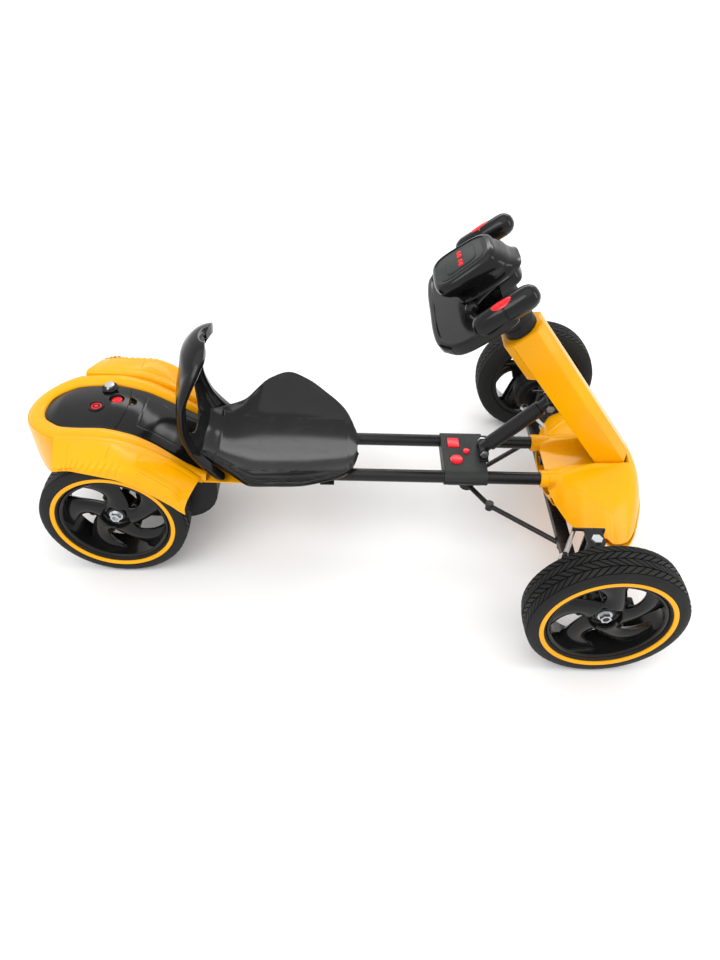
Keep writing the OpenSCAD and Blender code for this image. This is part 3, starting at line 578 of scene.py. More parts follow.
class PaintShop:
    """Makes each finish's material, with the effects that they share as node groups."""

    def __init__(self) -> None:
        """Builds the shared groups."""
        self._made: dict[Slot, bpy.types.Material] = {}
        self.edges = self._group("rubbed_edges", {"Radius": 0.001, "Amount": 0.3, "Scale": 140.0}, self._rub)
        self.patches = self._group("patches_scuffs_grain", {"Grain": 900.0}, self._patch)
        self.film = self._group("dust_film", {"Amount": 0.1}, self._settle)

    @staticmethod
    def _group(name: str, inputs: dict[str, float], draw: Draw) -> bpy.types.NodeTree:
        """Makes a node group of number sockets.

        Args:
            name: Name of the group.
            inputs: Input names and their default values.
            draw: Adds the nodes for the inputs and gives the outputs.

        Returns:
            The group.
        """
        tree = bpy.data.node_groups.new(name, "ShaderNodeTree")
        for key, value in inputs.items():
            tree.interface.new_socket(name=key, in_out="INPUT", socket_type="NodeSocketFloat").default_value = value
        drawn = draw(Graph(tree), tree.nodes.new("NodeGroupInput").outputs)
        for key in drawn:
            tree.interface.new_socket(name=key, in_out="OUTPUT", socket_type="NodeSocketFloat")
        outs = tree.nodes.new("NodeGroupOutput")
        for key, socket in drawn.items():
            tree.links.new(socket, outs.inputs[key])
        return tree

    @staticmethod
    def _rub(g: Graph, ins: Sockets) -> dict[str, Socket]:
        """Draws the mask of rubbed edges, broken up by noise.

        Args:
            g: The group's graph.
            ins: The group's inputs.

        Returns:
            The mask.
        """
        bevel = g.add("Bevel", {"Radius": ins["Radius"]}, samples=3).outputs[0]
        normal = g.add("NewGeometry", {}).outputs["Normal"]
        bend = g.add("VectorMath", {0: bevel, 1: normal}, operation="DOT_PRODUCT").outputs["Value"]
        rubbed = g.math("MULTIPLY", g.ramp(bend, 0.995, 0.86), g.ramp(g.noise(Scale=ins["Scale"]), 0.42, 0.68))
        return {"Mask": g.math("MULTIPLY", rubbed, ins["Amount"])}

    @staticmethod
    def _patch(g: Graph, ins: Sockets) -> dict[str, Socket]:
        """Draws broad patches, fine scuffs and a moulded grain.

        Args:
            g: The group's graph.
            ins: The group's inputs.

        Returns:
            The three masks.
        """
        turned = {"Vector": g.spot(), "Scale": (22.0, 34.0, 28.0), "Rotation": (0.3, 0.2, 0.5)}
        stretch = g.add("Mapping", turned).outputs[0]
        return {
            "Patches": g.noise(Scale=7.0, Detail=3.0),
            "Scuffs": g.ramp(g.noise(Vector=stretch, Scale=2.2, Detail=6.0, Roughness=0.7), 0.52, 0.72),
            "Grain": g.noise(Detail=2.0, Scale=ins["Grain"]),
        }

    @staticmethod
    def _settle(g: Graph, ins: Sockets) -> dict[str, Socket]:
        """Draws the film of dust that lies on faces that look up.

        Args:
            g: The group's graph.
            ins: The group's inputs.

        Returns:
            The mask.
        """
        up = g.add("SeparateXYZ", {0: g.add("NewGeometry", {}).outputs["Normal"]}).outputs["Z"]
        film = g.math("MULTIPLY", g.ramp(up, 0.1, 1.0), g.ramp(g.noise(Scale=26.0, Detail=7.0), 0.4, 0.75))
        return {"Mask": g.math("MULTIPLY", film, ins["Amount"])}

    def material(self, slot: Slot) -> bpy.types.Material:
        """Gives a slot's material, made the first time it is asked for.

        Args:
            slot: The finish's slot.

        Returns:
            The material.
        """
        if slot not in self._made:
            self._made[slot] = self._build(slot.value, FINISHES[slot])
        return self._made[slot]

    def _build(self, name: str, finish: Finish) -> bpy.types.Material:
        """Builds one material.

        Args:
            name: Name of the material.
            finish: What it looks like.

        Returns:
            The material.
        """
        mat = bpy.data.materials.new(name)
        mat.use_nodes = True
        g = Graph(mat.node_tree)
        patches = g.use(self.patches, Grain=finish.grain_size)
        edges = g.use(self.edges, Radius=finish.round_mm * 1.6 * MM, Amount=finish.wear)["Mask"]
        dust = g.use(self.film, Amount=finish.dust)["Mask"]
        colour = g.blend(patches["Patches"], (*finish.colour, 1), finish.shade)
        rough = g.math("MULTIPLY_ADD", patches["Scuffs"], finish.rough_spread, finish.rough)
        bevel = g.add("Bevel", {"Radius": finish.round_mm * MM}, samples=3).outputs[0]
        depth = finish.grain_depth * MM
        bump = g.add("Bump", {"Strength": 0.6, "Distance": depth, "Height": patches["Grain"], "Normal": bevel})
        g.feed(mat.node_tree.nodes["Principled BSDF"], {
            "Base Color": g.blend(dust, g.blend(edges, colour, finish.worn), DUST),
            "Roughness": g.math("MULTIPLY_ADD", dust, 0.5, rough),
            "Metallic": finish.metal,
            "Coat Weight": finish.coat,
            "Coat Roughness": 0.06,
            "Specular IOR Level": finish.gleam,
            "Normal": bump.outputs[0],
        })
        return mat


@dataclass
class Wheels:
    """The four wheels: tread, sidewall, trim ring and a rim with swept spokes."""

    mould: Mould
    radius: float = 120.0
    half: float = 29.0
    bead: float = 88.0
    ring: tuple[float, float] = (92.5, 99.5)
    spokes: int = 5
    lugs: int = 62
    hub: float = 27.0
    hub_face: float = 8.2
    web: float = 11.0

    def build(self) -> None:
        """Builds every wheel on its own body."""
        for where in ("front_left", "front_right", "rear_left", "rear_right"):
            side = 1 if "left" in where else -1
            place = Matrix.Translation(middle(f"tyre_{where}")) @ Matrix.Diagonal((1, side, 1, 1))
            body = f"wheel_{where}"
            self.mould.add(self._tyre(), f"tread_{where}", body, Slot.TYRE, [f"tyre_{where}"], place, crease=50)
            self.mould.add(self._trim(), f"trim_ring_{where}", body, Slot.YELLOW, matrix=place)
            self.mould.add(self._rim(), f"wheel_rim_{where}", body, Slot.GLOSS, [f"rim_{where}"], place)

    def _tyre(self) -> Mesh:
        """Turns the tyre and cuts its zigzag tread.

        Returns:
            The tyre, round the Y axis.
        """
        r, w = self.radius - 1.1, self.half
        rows = [-0.88, -0.44, 0.0, 0.44, 0.88]
        drop = [2.4, 0.5, 0.0, 0.5, 2.4]
        crown = [(r - d, w * u) for u, d in zip(rows, drop)]
        side = [(r - 5, w * 0.95), (r - 11, w * 0.99), (r - 18, w), (r - 20, w * 0.985), (r - 29, w * 0.9)]
        lip = [(self.bead + 1, w * 0.82), (self.bead, w * 0.76)]
        inner = [(y, -z) for y, z in reversed(side + lip)]
        bm = self.mould.lathe([*inner, *crown, *side, *lip, inner[0]], self.lugs)
        tread = [f for f in bm.faces if self._ring_radius(f) > (r - 3) * MM]
        for v in {v for f in tread for v in f.verts}:
            row = abs(v.co.y) / (self.half * MM * 0.44)
            turn = (0.5 if round(row) % 2 else -0.5) * math.tau / self.lugs
            v.co = Matrix.Rotation(turn * 1.3, 3, "Y") @ v.co
        for narrow, rise in ((0.1, -1.4), (1.1, 0), (0.4, 2.2)):
            bmesh.ops.inset_individual(bm, faces=tread, thickness=narrow * MM, depth=rise * MM)
        for f in tread:
            f.smooth = False
        return bm

    @staticmethod
    def _ring_radius(face: bmesh.types.BMFace) -> float:
        """Gives a face's distance from the wheel's axis."""
        at = face.calc_center_median()
        return math.hypot(at.x, at.z)

    def _trim(self) -> Mesh:
        """Turns the thin ring that is set in the outer sidewall.

        Returns:
            The ring.
        """
        a, b = self.ring
        y = self.half * 0.985
        return self.mould.lathe(
            [(a, y - 3), (a, y - 0.2), (a + 1, y + 0.8), (b - 1, y + 1.2), (b, y + 0.4), (b, y - 3), (a, y - 3)],
            128,
        )

    def _rim(self) -> Mesh:
        """Joins the band, the hub, the spokes and the screw bosses.

        Returns:
            The rim.
        """
        w, b = self.half * 0.78, self.bead - 0.3
        bm = self.mould.lathe(
            [(b, -w), (b, w), (b - 1, w + 1.2), (b - 4, w + 1.4), (b - 6, w - 0.5), (b - 8, 6), (b - 8, -w),
             (b - 4, -w - 1), (b, -w)], 96,
        )
        face = self.hub_face
        hub = self.mould.lathe(
            [(5.2, -27), (self.hub - 3, -27), (self.hub, -24), (self.hub, 2), (self.hub - 2, 5.5), (22, 6.5),
             (20, 4.2), (16, 4.2), (14.5, face - 0.5), (12.5, face), (5.2, face), (5.2, -27)], 64,
        )
        Mould.merge(bm, hub)
        for i in range(self.spokes):
            turn = Matrix.Rotation(i * math.tau / self.spokes, 4, "Y")
            Mould.merge(bm, self._spoke(), turn)
            boss = self.mould.lathe(
                [(0, 3), (2.2, 3), (2.6, 7), (3.2, 8), (5.2, 8), (6, 7), (6.4, -6), (0, -6), (0, 3)], 24
            )
            Mould.merge(bm, boss, turn @ shift(33, 0, 20))
        return bm

    def _spoke(self) -> Mesh:
        """Shapes one swept spoke, thick at the hub and twisting into the band.

        Returns:
            The spoke.
        """

        def place(u: float, v: float) -> Vector:
            """Places a point of the spoke's face.

            Args:
                u: From the hub to the band.
                v: Across the spoke.

            Returns:
                The point in millimetres.
            """
            r = 22 + u * (self.bead - 28)
            sweep = 0.62 * u**1.25
            half = 15.5 - 7 * math.sin(math.pi * min(u * 1.15, 1)) + 13 * u**3
            across = (v - 0.5) * 2 * half
            a = sweep + across / r
            dome = 4.2 * (1 - (2 * v - 1) ** 2)
            return Vector((r * math.cos(a), -3.5 * u + dome + 1.5 - 4 * u * (1 - v), r * math.sin(a)))

        bm = self.mould.sheet(14, 8, place)
        self.mould.wall(bm, self.web, Vector((0, 1, 0)))
        self.mould.round_edges(bm, 1.6, 2, 50)
        return bm


@dataclass
class RearBody:
    """The yellow tub with its rolled rim, the fenders, and the black deck with its lid."""

    mould: Mould
    axle: float = 0.0
    floor: float = 160.3
    deck_top: float = 252.0
    split: float = 10.0
    outer: Path = Path((
        (146, -85), (90, -86), (30, -86), (-30, -86), (-70, -86), (-88, -83.5), (-104, -75), (-120, -62),
        (-137, -42), (-147, -22), (-150, 0), (-147, 22), (-137, 42), (-120, 62), (-104, 75), (-88, 83.5),
        (-70, 86), (-30, 86), (30, 86), (90, 86), (146, 85),
    ))
    inner: Path = Path((
        (146, -71), (100, -66), (60, -61), (-15, -60.5), (-44, -60.5), (-66, -59), (-83, -56), (-98, -47),
        (-113, -34), (-121, -18), (-124, 0), (-121, 18), (-113, 34), (-98, 47), (-83, 56), (-66, 59),
        (-44, 60.5), (-15, 60.5), (60, 61), (100, 66), (146, 71),
    ))
    drop: Track = Track((
        (-150, 14), (-124, 9), (-82, 5), (-20, 3), (26, 13), (57, 29), (88, 50), (117, 70), (150, 84), (175, 88),
    ))
    deck_half: Track = Track((
        (-123.6, 2), (-121, 19), (-113, 33), (-98, 46), (-82, 55.5), (-60, 59.3), (60, 60), (100, 65), (175, 74),
    ))
    fender_in: Track = Track(((-80, 253), (-35, 253), (8, 250), (48, 236), (87, 213), (117, 190), (138, 171)))
    fender_ridge: Track = Track((
        (-80, 242), (-35, 248), (20, 247), (50, 237), (76, 218), (100, 198), (138, 168),
    ))
    charge: tuple[float, float] = (-9.0, 16.0)

    def build(self) -> None:
        """Builds the body's pieces."""
        self.axle = middle("tyre_rear_left").x / MM
        self._tub()
        for side, name in SIDES:
            self._fender(side, name)
        self._deck()
        self._lid()

    def edge(self, x: float) -> float:
        """Height of the deck's edge at a distance from the axle."""
        return self.deck_top - self.drop.at(x) - 2

    def _tub(self) -> None:
        """Sweeps the tub's wall round the tail, with its apron under the seat."""
        roll = Path((
            (0.0, 0.0, -1), (0.0, 0.5, -1), (0.0, 0.93, -1), (0.06, 1.0, -2.2), (0.22, 1.0, 1.6), (0.5, 1.0, 2.6),
            (0.8, 1.0, 1.4), (0.98, 1.0, -2.0), (1.0, 1.0, -12),
        ))

        def place(u: float, v: float) -> Vector:
            """Places a point of the tub's wall.

            Args:
                u: Round the tail, from the right to the left.
                v: Up the wall, then over its rim.

            Returns:
                The point in millimetres.
            """
            out, inn = self.outer.at(u), self.inner.at(u)
            mix, rise, lift = roll.at(v)
            x, y = (o + (i - o) * mix for o, i in zip(out, inn))
            top = self.edge(out[0] + (inn[0] - out[0]) * mix) + 1
            low = self.floor + max(0.0, -124 - out[0]) * 1.4
            z = low + (top - low) * rise if rise < 0.95 else top
            return Vector((self.axle + x, y, z + (lift if rise >= 0.9 else 0)))

        bm = self.mould.sheet(180, 26, place)
        self.mould.wall(bm, SHELL)
        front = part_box("rear_body")[1].x / MM
        back, width, thick = self.axle + 136, 176, 2.5
        apron = self.mould.block(front - back, width, thick)
        corners = [e for e in apron.edges if abs(e.verts[0].co.z - e.verts[1].co.z) > MM]
        self.mould.bevel(apron, corners, 7, 6)
        self.mould.round_edges(apron, 0.7, 2)
        Mould.merge(bm, apron, shift((front + back) / 2, 0, self.floor + thick / 2))
        self.mould.add(bm, "rear_tub", "chassis", Slot.YELLOW, ["rear_body"], crease=40)

    def _fender(self, side: int, name: str) -> None:
        """Shapes a fender with its ribs, lines and inset panel.

        Args:
            side: +1 for the left, -1 for the right.
            name: Which side, for the piece's name.
        """

        def skin(u: float, v: float) -> Vector:
            """Places a point of the plain skin of the left fender.

            Args:
                u: From the tail to the toe.
                v: From the seat outwards.

            Returns:
                The point in millimetres.
            """
            x = -80 + 218 * u
            a, r, h = self.fender_in.at(x), self.fender_ridge.at(x), 152.0
            skirt = 4 + 22 * step(-80, 60, x) - 9 * step(104, 138, x)
            slant = -14 * (1 - step(-80, -20, x)) + 16 * step(100, 138, x)
            line = Path((
                (86.3, a - 14), (86.8, a - 4), (89.5, a - 0.4), (96, a + 0.6), (115, a * 0.45 + r * 0.55 + 2.6),
                (h - 14, r + 1.8), (h - 5, r - 1.2), (h - 1, r - 5), (h, r - skirt * 0.6), (h, r - skirt),
            ))
            y, z = line.at(v)
            return Vector((self.axle + x - slant * (y - 87) / 65, y, z))

        def marks(u: float, v: float) -> float:
            """Adds up the ribs, the lines and the inset panel.

            Args:
                u: From the tail to the toe.
                v: From the seat outwards.

            Returns:
                The height over the skin, in millimetres.
            """
            ribs = step(0.04, 0.09, u) * (1 - step(0.5, 0.56, u)) * step(0.5, 0.62, v) * (1 - step(0.9, 0.98, v))
            depth = -1.6 * ribs * (0.5 + 0.5 * math.sin((u * 20 + v * 2.6) * math.tau)) ** 2
            lines = step(0.6, 0.64, u) * (1 - step(0.93, 0.96, u))
            for at in (0.52, 0.60, 0.68, 0.76):
                depth -= 0.7 * lines * groove(v - at, 0.012)
            depth -= 0.8 * groove(v - 0.36, 0.014) * step(0.02, 0.05, u) * (1 - step(0.94, 0.98, u))
            inside = 0.12 < u < 0.42 and 0.405 < v < 0.545
            near = min(abs(u - 0.12), abs(u - 0.42)) / 0.006 if 0.405 < v < 0.545 else 9
            near = min(near, min(abs(v - 0.405), abs(v - 0.545)) / 0.01 if 0.12 < u < 0.42 else 9)
            return depth - 0.8 * max(0.0, 1 - near) - (0.25 if inside else 0)

        def place(u: float, v: float) -> Vector:
            """Lays the marks on the skin.

            Args:
                u: From the tail to the toe.
                v: From the seat outwards.

            Returns:
                The point in millimetres.
            """
            p, e = skin(u, v), 0.004
            along = skin(min(u + e, 1), v) - skin(max(u - e, 0), v)
            over = skin(u, min(v + e, 1)) - skin(u, max(v - e, 0))
            p += along.cross(over).normalized() * marks(u, v)
            return Vector((p.x, side * p.y, p.z))

        bm = self.mould.sheet(200, 70, place)
        self.mould.wall(bm, SHELL, Vector((0, side * 0.4, 1)))
        self.mould.add(bm, f"wheel_arch_{name}", "chassis", Slot.YELLOW, [f"fender_{name}"], crease=50)

    def _deck_point(self, x: float, w: float) -> Vector:
        """Gives a point of the black deck's crowned top.

        Args:
            x: Distance from the axle.
            w: From -1 at the right edge to 1 at the left.

        Returns:
            The point in millimetres.
        """
        h = self.deck_half.at(x)
        crown = 6.0 * (1 - w * w) * step(-124, -96, x)
        shoulder = -1.6 * step(0.9, 1.0, abs(w)) - 1.6 * (1 - step(-123.6, -119, x))
        return Vector((self.axle + x, h * w, self.edge(x) + crown + shoulder))

    def _seam(self, w: float) -> float:
        """Place of the curved gap between the lid and the deck, across it."""
        return self.split - 7 + 9 * (1 - w * w)

    def _deck(self) -> None:
        """Shapes the fixed deck that runs down behind the seat, with its finger notch."""

        def place(u: float, v: float) -> Vector:
            """Places a point of the deck.

            Args:
                u: From the seam down to the seat.
                v: From the right to the left.

            Returns:
                The point in millimetres.
            """
            w = 2 * v - 1
            start = self._seam(w) + 0.8
            x = start + (146 - start) * u
            p = self._deck_point(x, w)
            away = math.hypot((x - start) / 11, (p.y - 16) / 12)
            p.z -= 7 * (1 - step(0.75, 1.0, away))
            panel = max(abs(x - 78) / 42, abs(w) / 0.62)
            p.z -= 0.7 * groove(panel - 1, 0.03)
            return p

        bm = self.mould.sheet(120, 110, place)
        self.mould.wall(bm, SHELL)
        self.mould.add(bm, "deck_cover", "chassis", Slot.GLOSS, ["deck_panel"], crease=50)

    def _lid(self) -> None:
        """Shapes the lid, its two button wells and its fittings."""

        def place(u: float, v: float) -> Vector:
            """Places a point of the lid.

            Args:
                u: From the tail to the seam.
                v: From the right to the left.

            Returns:
                The point in millimetres.
            """
            w = 2 * v - 1
            end = self._seam(w)
            x = -123.6 + (end + 123.6) * (1 - (1 - u) ** 1.25 if u < 1 else 1)
            p = self._deck_point(x, w)
            away = math.hypot(x - self.charge[0], p.y - self.charge[1])
            p.z -= 6.5 * (1 - step(10.6, 12.4, away))
            return p

        bm = self.mould.sheet(150, 120, place)
        self.mould.wall(bm, SHELL)
        self.mould.add(bm, "lid_cover", "lid", Slot.GLOSS, ["battery_lid"], crease=50)
        top = self.deck_top + 3
        bezel = self.mould.lathe(
            [(9.3, top - 8), (13.6, top - 8), (13.6, top - 1.6), (12.6, top - 0.2), (11.2, top), (10.4, top - 0.8),
             (9.3, top - 3), (9.3, top - 8)], 64,
        )
        self.mould.add(bezel, "power_bezel", "lid", Slot.SATIN_PAINT, matrix=self._stand("power_button"))
        for name, node, body, high_z in (
            ("power_cap", "power_button", "power", self.deck_top + 1.6),
            ("charge_cap", "charge_button", "charge", self.deck_top - 3.6),
        ):
            cap = self.mould.lathe(
                [(0, high_z - 12), (8.7, high_z - 12), (8.9, high_z - 1.4), (8.0, high_z - 0.2), (6.6, high_z),
                 (6.0, high_z - 1.1), (3.4, high_z - 1.1), (3.0, high_z - 0.2), (0, high_z), (0, high_z - 12)], 48,
            )
            self.mould.add(cap, name, body, Slot.RED, [node], self._stand(node))

    @staticmethod
    def _stand(node: str) -> Matrix:
        """Gives the matrix that stands a turned piece up over a node's middle."""
        at = middle(node)
        return Matrix.Translation((at.x, at.y, 0)) @ UPRIGHT


@dataclass
class Seat:
    """The one-piece bucket seat: pan with raised wings, and a looped backrest."""

    mould: Mould
    axle: float = 0.0
    half: Track = Track((
        (120, 56), (150, 72), (172, 86), (190, 100), (231, 144), (268, 153), (303, 143), (337, 121), (371, 92),
        (388, 60), (396, 20),
    ))
    wing: Track = Track((
        (120, 206), (150, 200), (190, 196), (212, 204), (235, 214), (268, 222), (303, 214), (337, 202),
        (371, 188), (396, 172),
    ))
    pan: Track = Track(((120, 197), (138, 187), (150, 179), (165, 172), (190, 169), (240, 168.6), (396, 170)))
    back_x: Track = Track(tuple(enumerate((140, 126, 115, 108, 108, 113, 121, 131, 141, 149, 153))))
    back_z: Track = Track(tuple(enumerate((172, 200, 230, 268, 304, 333, 355, 370, 379, 382, 381))))
    back_half: Track = Track(tuple(enumerate((88, 88, 88, 87, 85, 78, 65, 50, 34, 20, 9))))
    wrap: Track = Track(tuple(enumerate((40, 28, 20, 18, 21, 27, 31, 29, 21, 11, 4))))
    hole: tuple[float, float, float] = (266.0, 57.0, 55.0)

    def build(self) -> None:
        """Builds the pan and the backrest."""
        self.axle = middle("tyre_rear_left").x / MM
        self._pan()
        self._back()

    def _pan(self) -> None:
        """Shapes the pan, with its rolled edge and the shallow line round its floor."""

        def place(u: float, v: float) -> Vector:
            """Places a point of the pan.

            Args:
                u: From the backrest to the front.
                v: From the right to the left.

            Returns:
                The point in millimetres.
            """
            x = 122 + 274 * (0.5 - 0.5 * math.cos(math.pi * (0.06 + 0.94 * u))) if u > 0 else 122.0
            t = (2 * v - 1) * 1.07
            w = min(abs(t), 1.0)
            h, high, floor = self.half.at(x), self.wing.at(x), self.pan.at(x)
            z = high + (floor - high) * (1 - w**3)
            over = max(abs(t) - 1, 0) / 0.07
            y = h * w - 4.5 + 4.5 * math.sin(over * math.pi / 2) if over else h * w - 4.5 * w
            z -= 5 * (1 - math.cos(over * math.pi / 2)) * 1.4
            line = max(abs(x - 270) / 112, abs(y) / 68)
            z -= 0.9 * groove(line - 1, 0.02)
            return Vector((self.axle + x, math.copysign(y, t) if t else 0.0, z))

        bm = self.mould.sheet(90, 90, place)
        self.mould.wall(bm, 3.6)
        self.mould.add(bm, "seat_pan", "chassis", Slot.GLOSS, ["seat"], smooth=1)

    def _back(self) -> None:
        """Shapes the backrest: a dish with a hole, inside a deep rounded loop."""
        z0, hole_y, hole_z = self.hole
        bm = bmesh.new()
        bmesh.ops.create_grid(bm, x_segments=44, y_segments=44, size=0.5)
        us = bm.verts.layers.float.new("u")
        vs = bm.verts.layers.float.new("v")
        for v in bm.verts:
            v[us], v[vs] = v.co.x + 0.5, v.co.y + 0.5

        def flat(u: float, v: float) -> tuple[float, float, float]:
            """Gives the wrap angle, the height and the sideways place of a point."""
            w = math.radians(-90 + 180 * u)
            return w, self.back_z.at(10 * v), self.back_half.at(10 * v) * math.sin(w)

        def inside(v: bmesh.types.BMVert) -> bool:
            """Tells if a point lies in the hole."""
            w, z, y = flat(v[us], v[vs])
            return v[vs] < 0.65 and math.hypot(y / hole_y, (z - z0) / hole_z) < 1

        gone = [f for f in bm.faces if sum(inside(v) for v in f.verts) >= 2]
        bmesh.ops.delete(bm, geom=gone, context="FACES")
        thick = bm.verts.layers.float.new("thick")
        rims = {v for v in bm.verts if v.is_boundary and 0.01 < v[us] < 0.99 and 0.01 < v[vs] < 0.99}
        for v in bm.verts:
            w, z, y = flat(v[us], v[vs])
            i = 10 * v[vs]
            if v in rims:
                r = math.hypot(y / hole_y, (z - z0) / hole_z)
                y, z = y / r, z0 + (z - z0) / r
                w = math.asin(max(-1, min(1, y / self.back_half.at(i))))
            near = math.hypot(y / hole_y, (z - z0) / hole_z)
            loop = max(step(0.5, 0.9, abs(w) / (math.pi / 2)), step(5.2, 6.6, i))
            pinch = 1 - 0.5 * (1 - step(1.0, 1.22, near)) * (v[vs] < 0.65)
            v[thick] = (2.5 + 6.0 * loop) * pinch * (1 - 0.3 * step(8.6, 10, i))
            v.co = Vector((self.axle + self.back_x.at(i) + self.wrap.at(i) * (1 - math.cos(w)), y, z)) * MM
        bm.normal_update()
        Mould.face(bm, Vector((1, 0, 0)))
        push = bm.verts.layers.float_vector.new("push")
        for v in bm.verts:
            v[push] = v.normal * v[thick] * MM
        front = set(Mould.doubled(bm))
        for v in bm.verts:
            v.co += v[push] * (1 if v in front else -1)
        bmesh.ops.recalc_face_normals(bm, faces=bm.faces)
        self.mould.add(bm, "seat_back", "chassis", Slot.GLOSS, smooth=2)


@dataclass
class Nose:
    """The front fairing: a domed upper shell with a trough, and the pan under it."""

    mould: Mould
    axle: float = 0.0
    rail_y: float = 48.0
    rail_z: float = 149.0
    trough: float = 32.0
    trough_floor: float = 151.5
    boss_r: float = 15.3
    half: Track = Track((
        (-42, 62), (-29, 90), (-15, 125), (6, 155), (35, 168), (50, 172), (72, 165), (88, 146), (103, 111),
        (114, 74), (119.5, 26),
    ))
    edge: Track = Track((
        (-42, 139), (-29, 124), (-15, 121), (6, 128), (35, 131), (50, 122), (88, 119), (103, 128), (119.5, 140),
    ))
    crest: Track = Track(((-42, 164), (0, 171), (60, 176), (92, 180), (106, 174), (114, 164), (119.5, 150)))

    def build(self) -> None:
        """Builds both shells."""
        self.axle = middle("tyre_front_left").x / MM
        self._upper()
        self._lower()

    @staticmethod
    def _along(u: float) -> float:
        """Spreads stations from the tail of the shell to its tip, closer near the tip."""
        return -42 + 161.5 * (1 - (1 - u) ** 1.6)

    def _upper(self) -> None:
        """Shapes the dome, its trough, the rail bosses and the ridges that run into the trough."""

        def place(u: float, v: float) -> Vector:
            """Places a point of the dome.

            Args:
                u: From its tail to its tip.
                v: From the right to the left.

            Returns:
                The point in millimetres.
            """
            d = self._along(u)
            s = 2 * v - 1
            w = math.copysign(abs(s) ** 1.25, s)
            h, e, c = self.half.at(d), self.edge.at(d), self.crest.at(d)
            y = h * w
            z = e + (c - e) * (1 - abs(w) ** 2.6)
            off = abs(abs(y) - self.rail_y)
            if off < self.boss_r and d < 4:
                boss = self.rail_z + math.sqrt(self.boss_r**2 - off**2)
                z = max(z, boss - 4 * step(-34, 4, d))
            ridge = 1 - step(0, 8, abs(abs(y) - (self.rail_y - 14 * step(-30, 60, d))))
            z += 2.6 * ridge * step(-34, -10, d) * (1 - step(40, 80, d))
            flow = 1 - step(0, 7, abs(abs(y) - (62 + 0.9 * (d + 30))))
            z += 1.5 * flow * step(-30, -5, d) * (1 - step(20, 60, d))
            pit = (1 - step(self.trough - 3, self.trough + 2, abs(y))) * (1 - step(88, 97, d))
            z += (self.trough_floor - z) * pit
            return Vector((self.axle + d, y, z))

        bm = self.mould.sheet(130, 170, place)
        foot = []
        for f in bm.faces:
            p = f.calc_center_median() / MM
            if abs(p.y) < 30.5 and 86 < p.x - self.axle < 93:
                foot.append(f)
        bmesh.ops.delete(bm, geom=foot, context="FACES")
        self.mould.wall(bm, SHELL)
        for side in (-1, 1):
            r = self.boss_r
            boss = self.mould.lathe(
                [(11.4, -55), (14.2, -55), (r, -54), (r, -33), (14, -32), (11.4, -32), (11.4, -55)], 12
            )
            stand = shift(self.axle, side * self.rail_y, self.rail_z)
            Mould.merge(bm, boss, stand @ Matrix.Rotation(-math.pi / 2, 4, "Z"))
        self.mould.add(bm, "nose_shell", "chassis", Slot.YELLOW, ["fairing_upper"], crease=45)

    def _lower(self) -> None:
        """Shapes the pan under the nose, open where the posts and the tie rods pass."""

        def place(u: float, v: float) -> Vector:
            """Places a point of the pan.

            Args:
                u: From its tail to its tip.
                v: From the right to the left.

            Returns:
                The point in millimetres.
            """
            d = self._along(u)
            s = 2 * v - 1
            h, e = self.half.at(d) + 6, self.edge.at(d) - 6
            d = d * (0.86 if d < 0 else 0.985)
            w = abs(s)
            lip = step(0.97, 1.0, w)
            return Vector((self.axle + d, h * s, e + (103 - e) * (1 - w**3) + 2.2 * lip))

        bm = self.mould.sheet(90, 120, place)
        gone = []
        for f in bm.faces:
            p = f.calc_center_median() / MM
            d, y = p.x - self.axle, abs(p.y)
            rod = -34 < d < 28 and y > 68 and p.z > 106
            post = -32 < d < -8 and self.rail_y - 10 < y < self.rail_y + 10
            if rod or post:
                gone.append(f)
        bmesh.ops.delete(bm, geom=gone, context="FACES")
        self.mould.wall(bm, SHELL)
        self.mould.add(bm, "nose_pan", "chassis", Slot.YELLOW, ["fairing_lower"], crease=45)


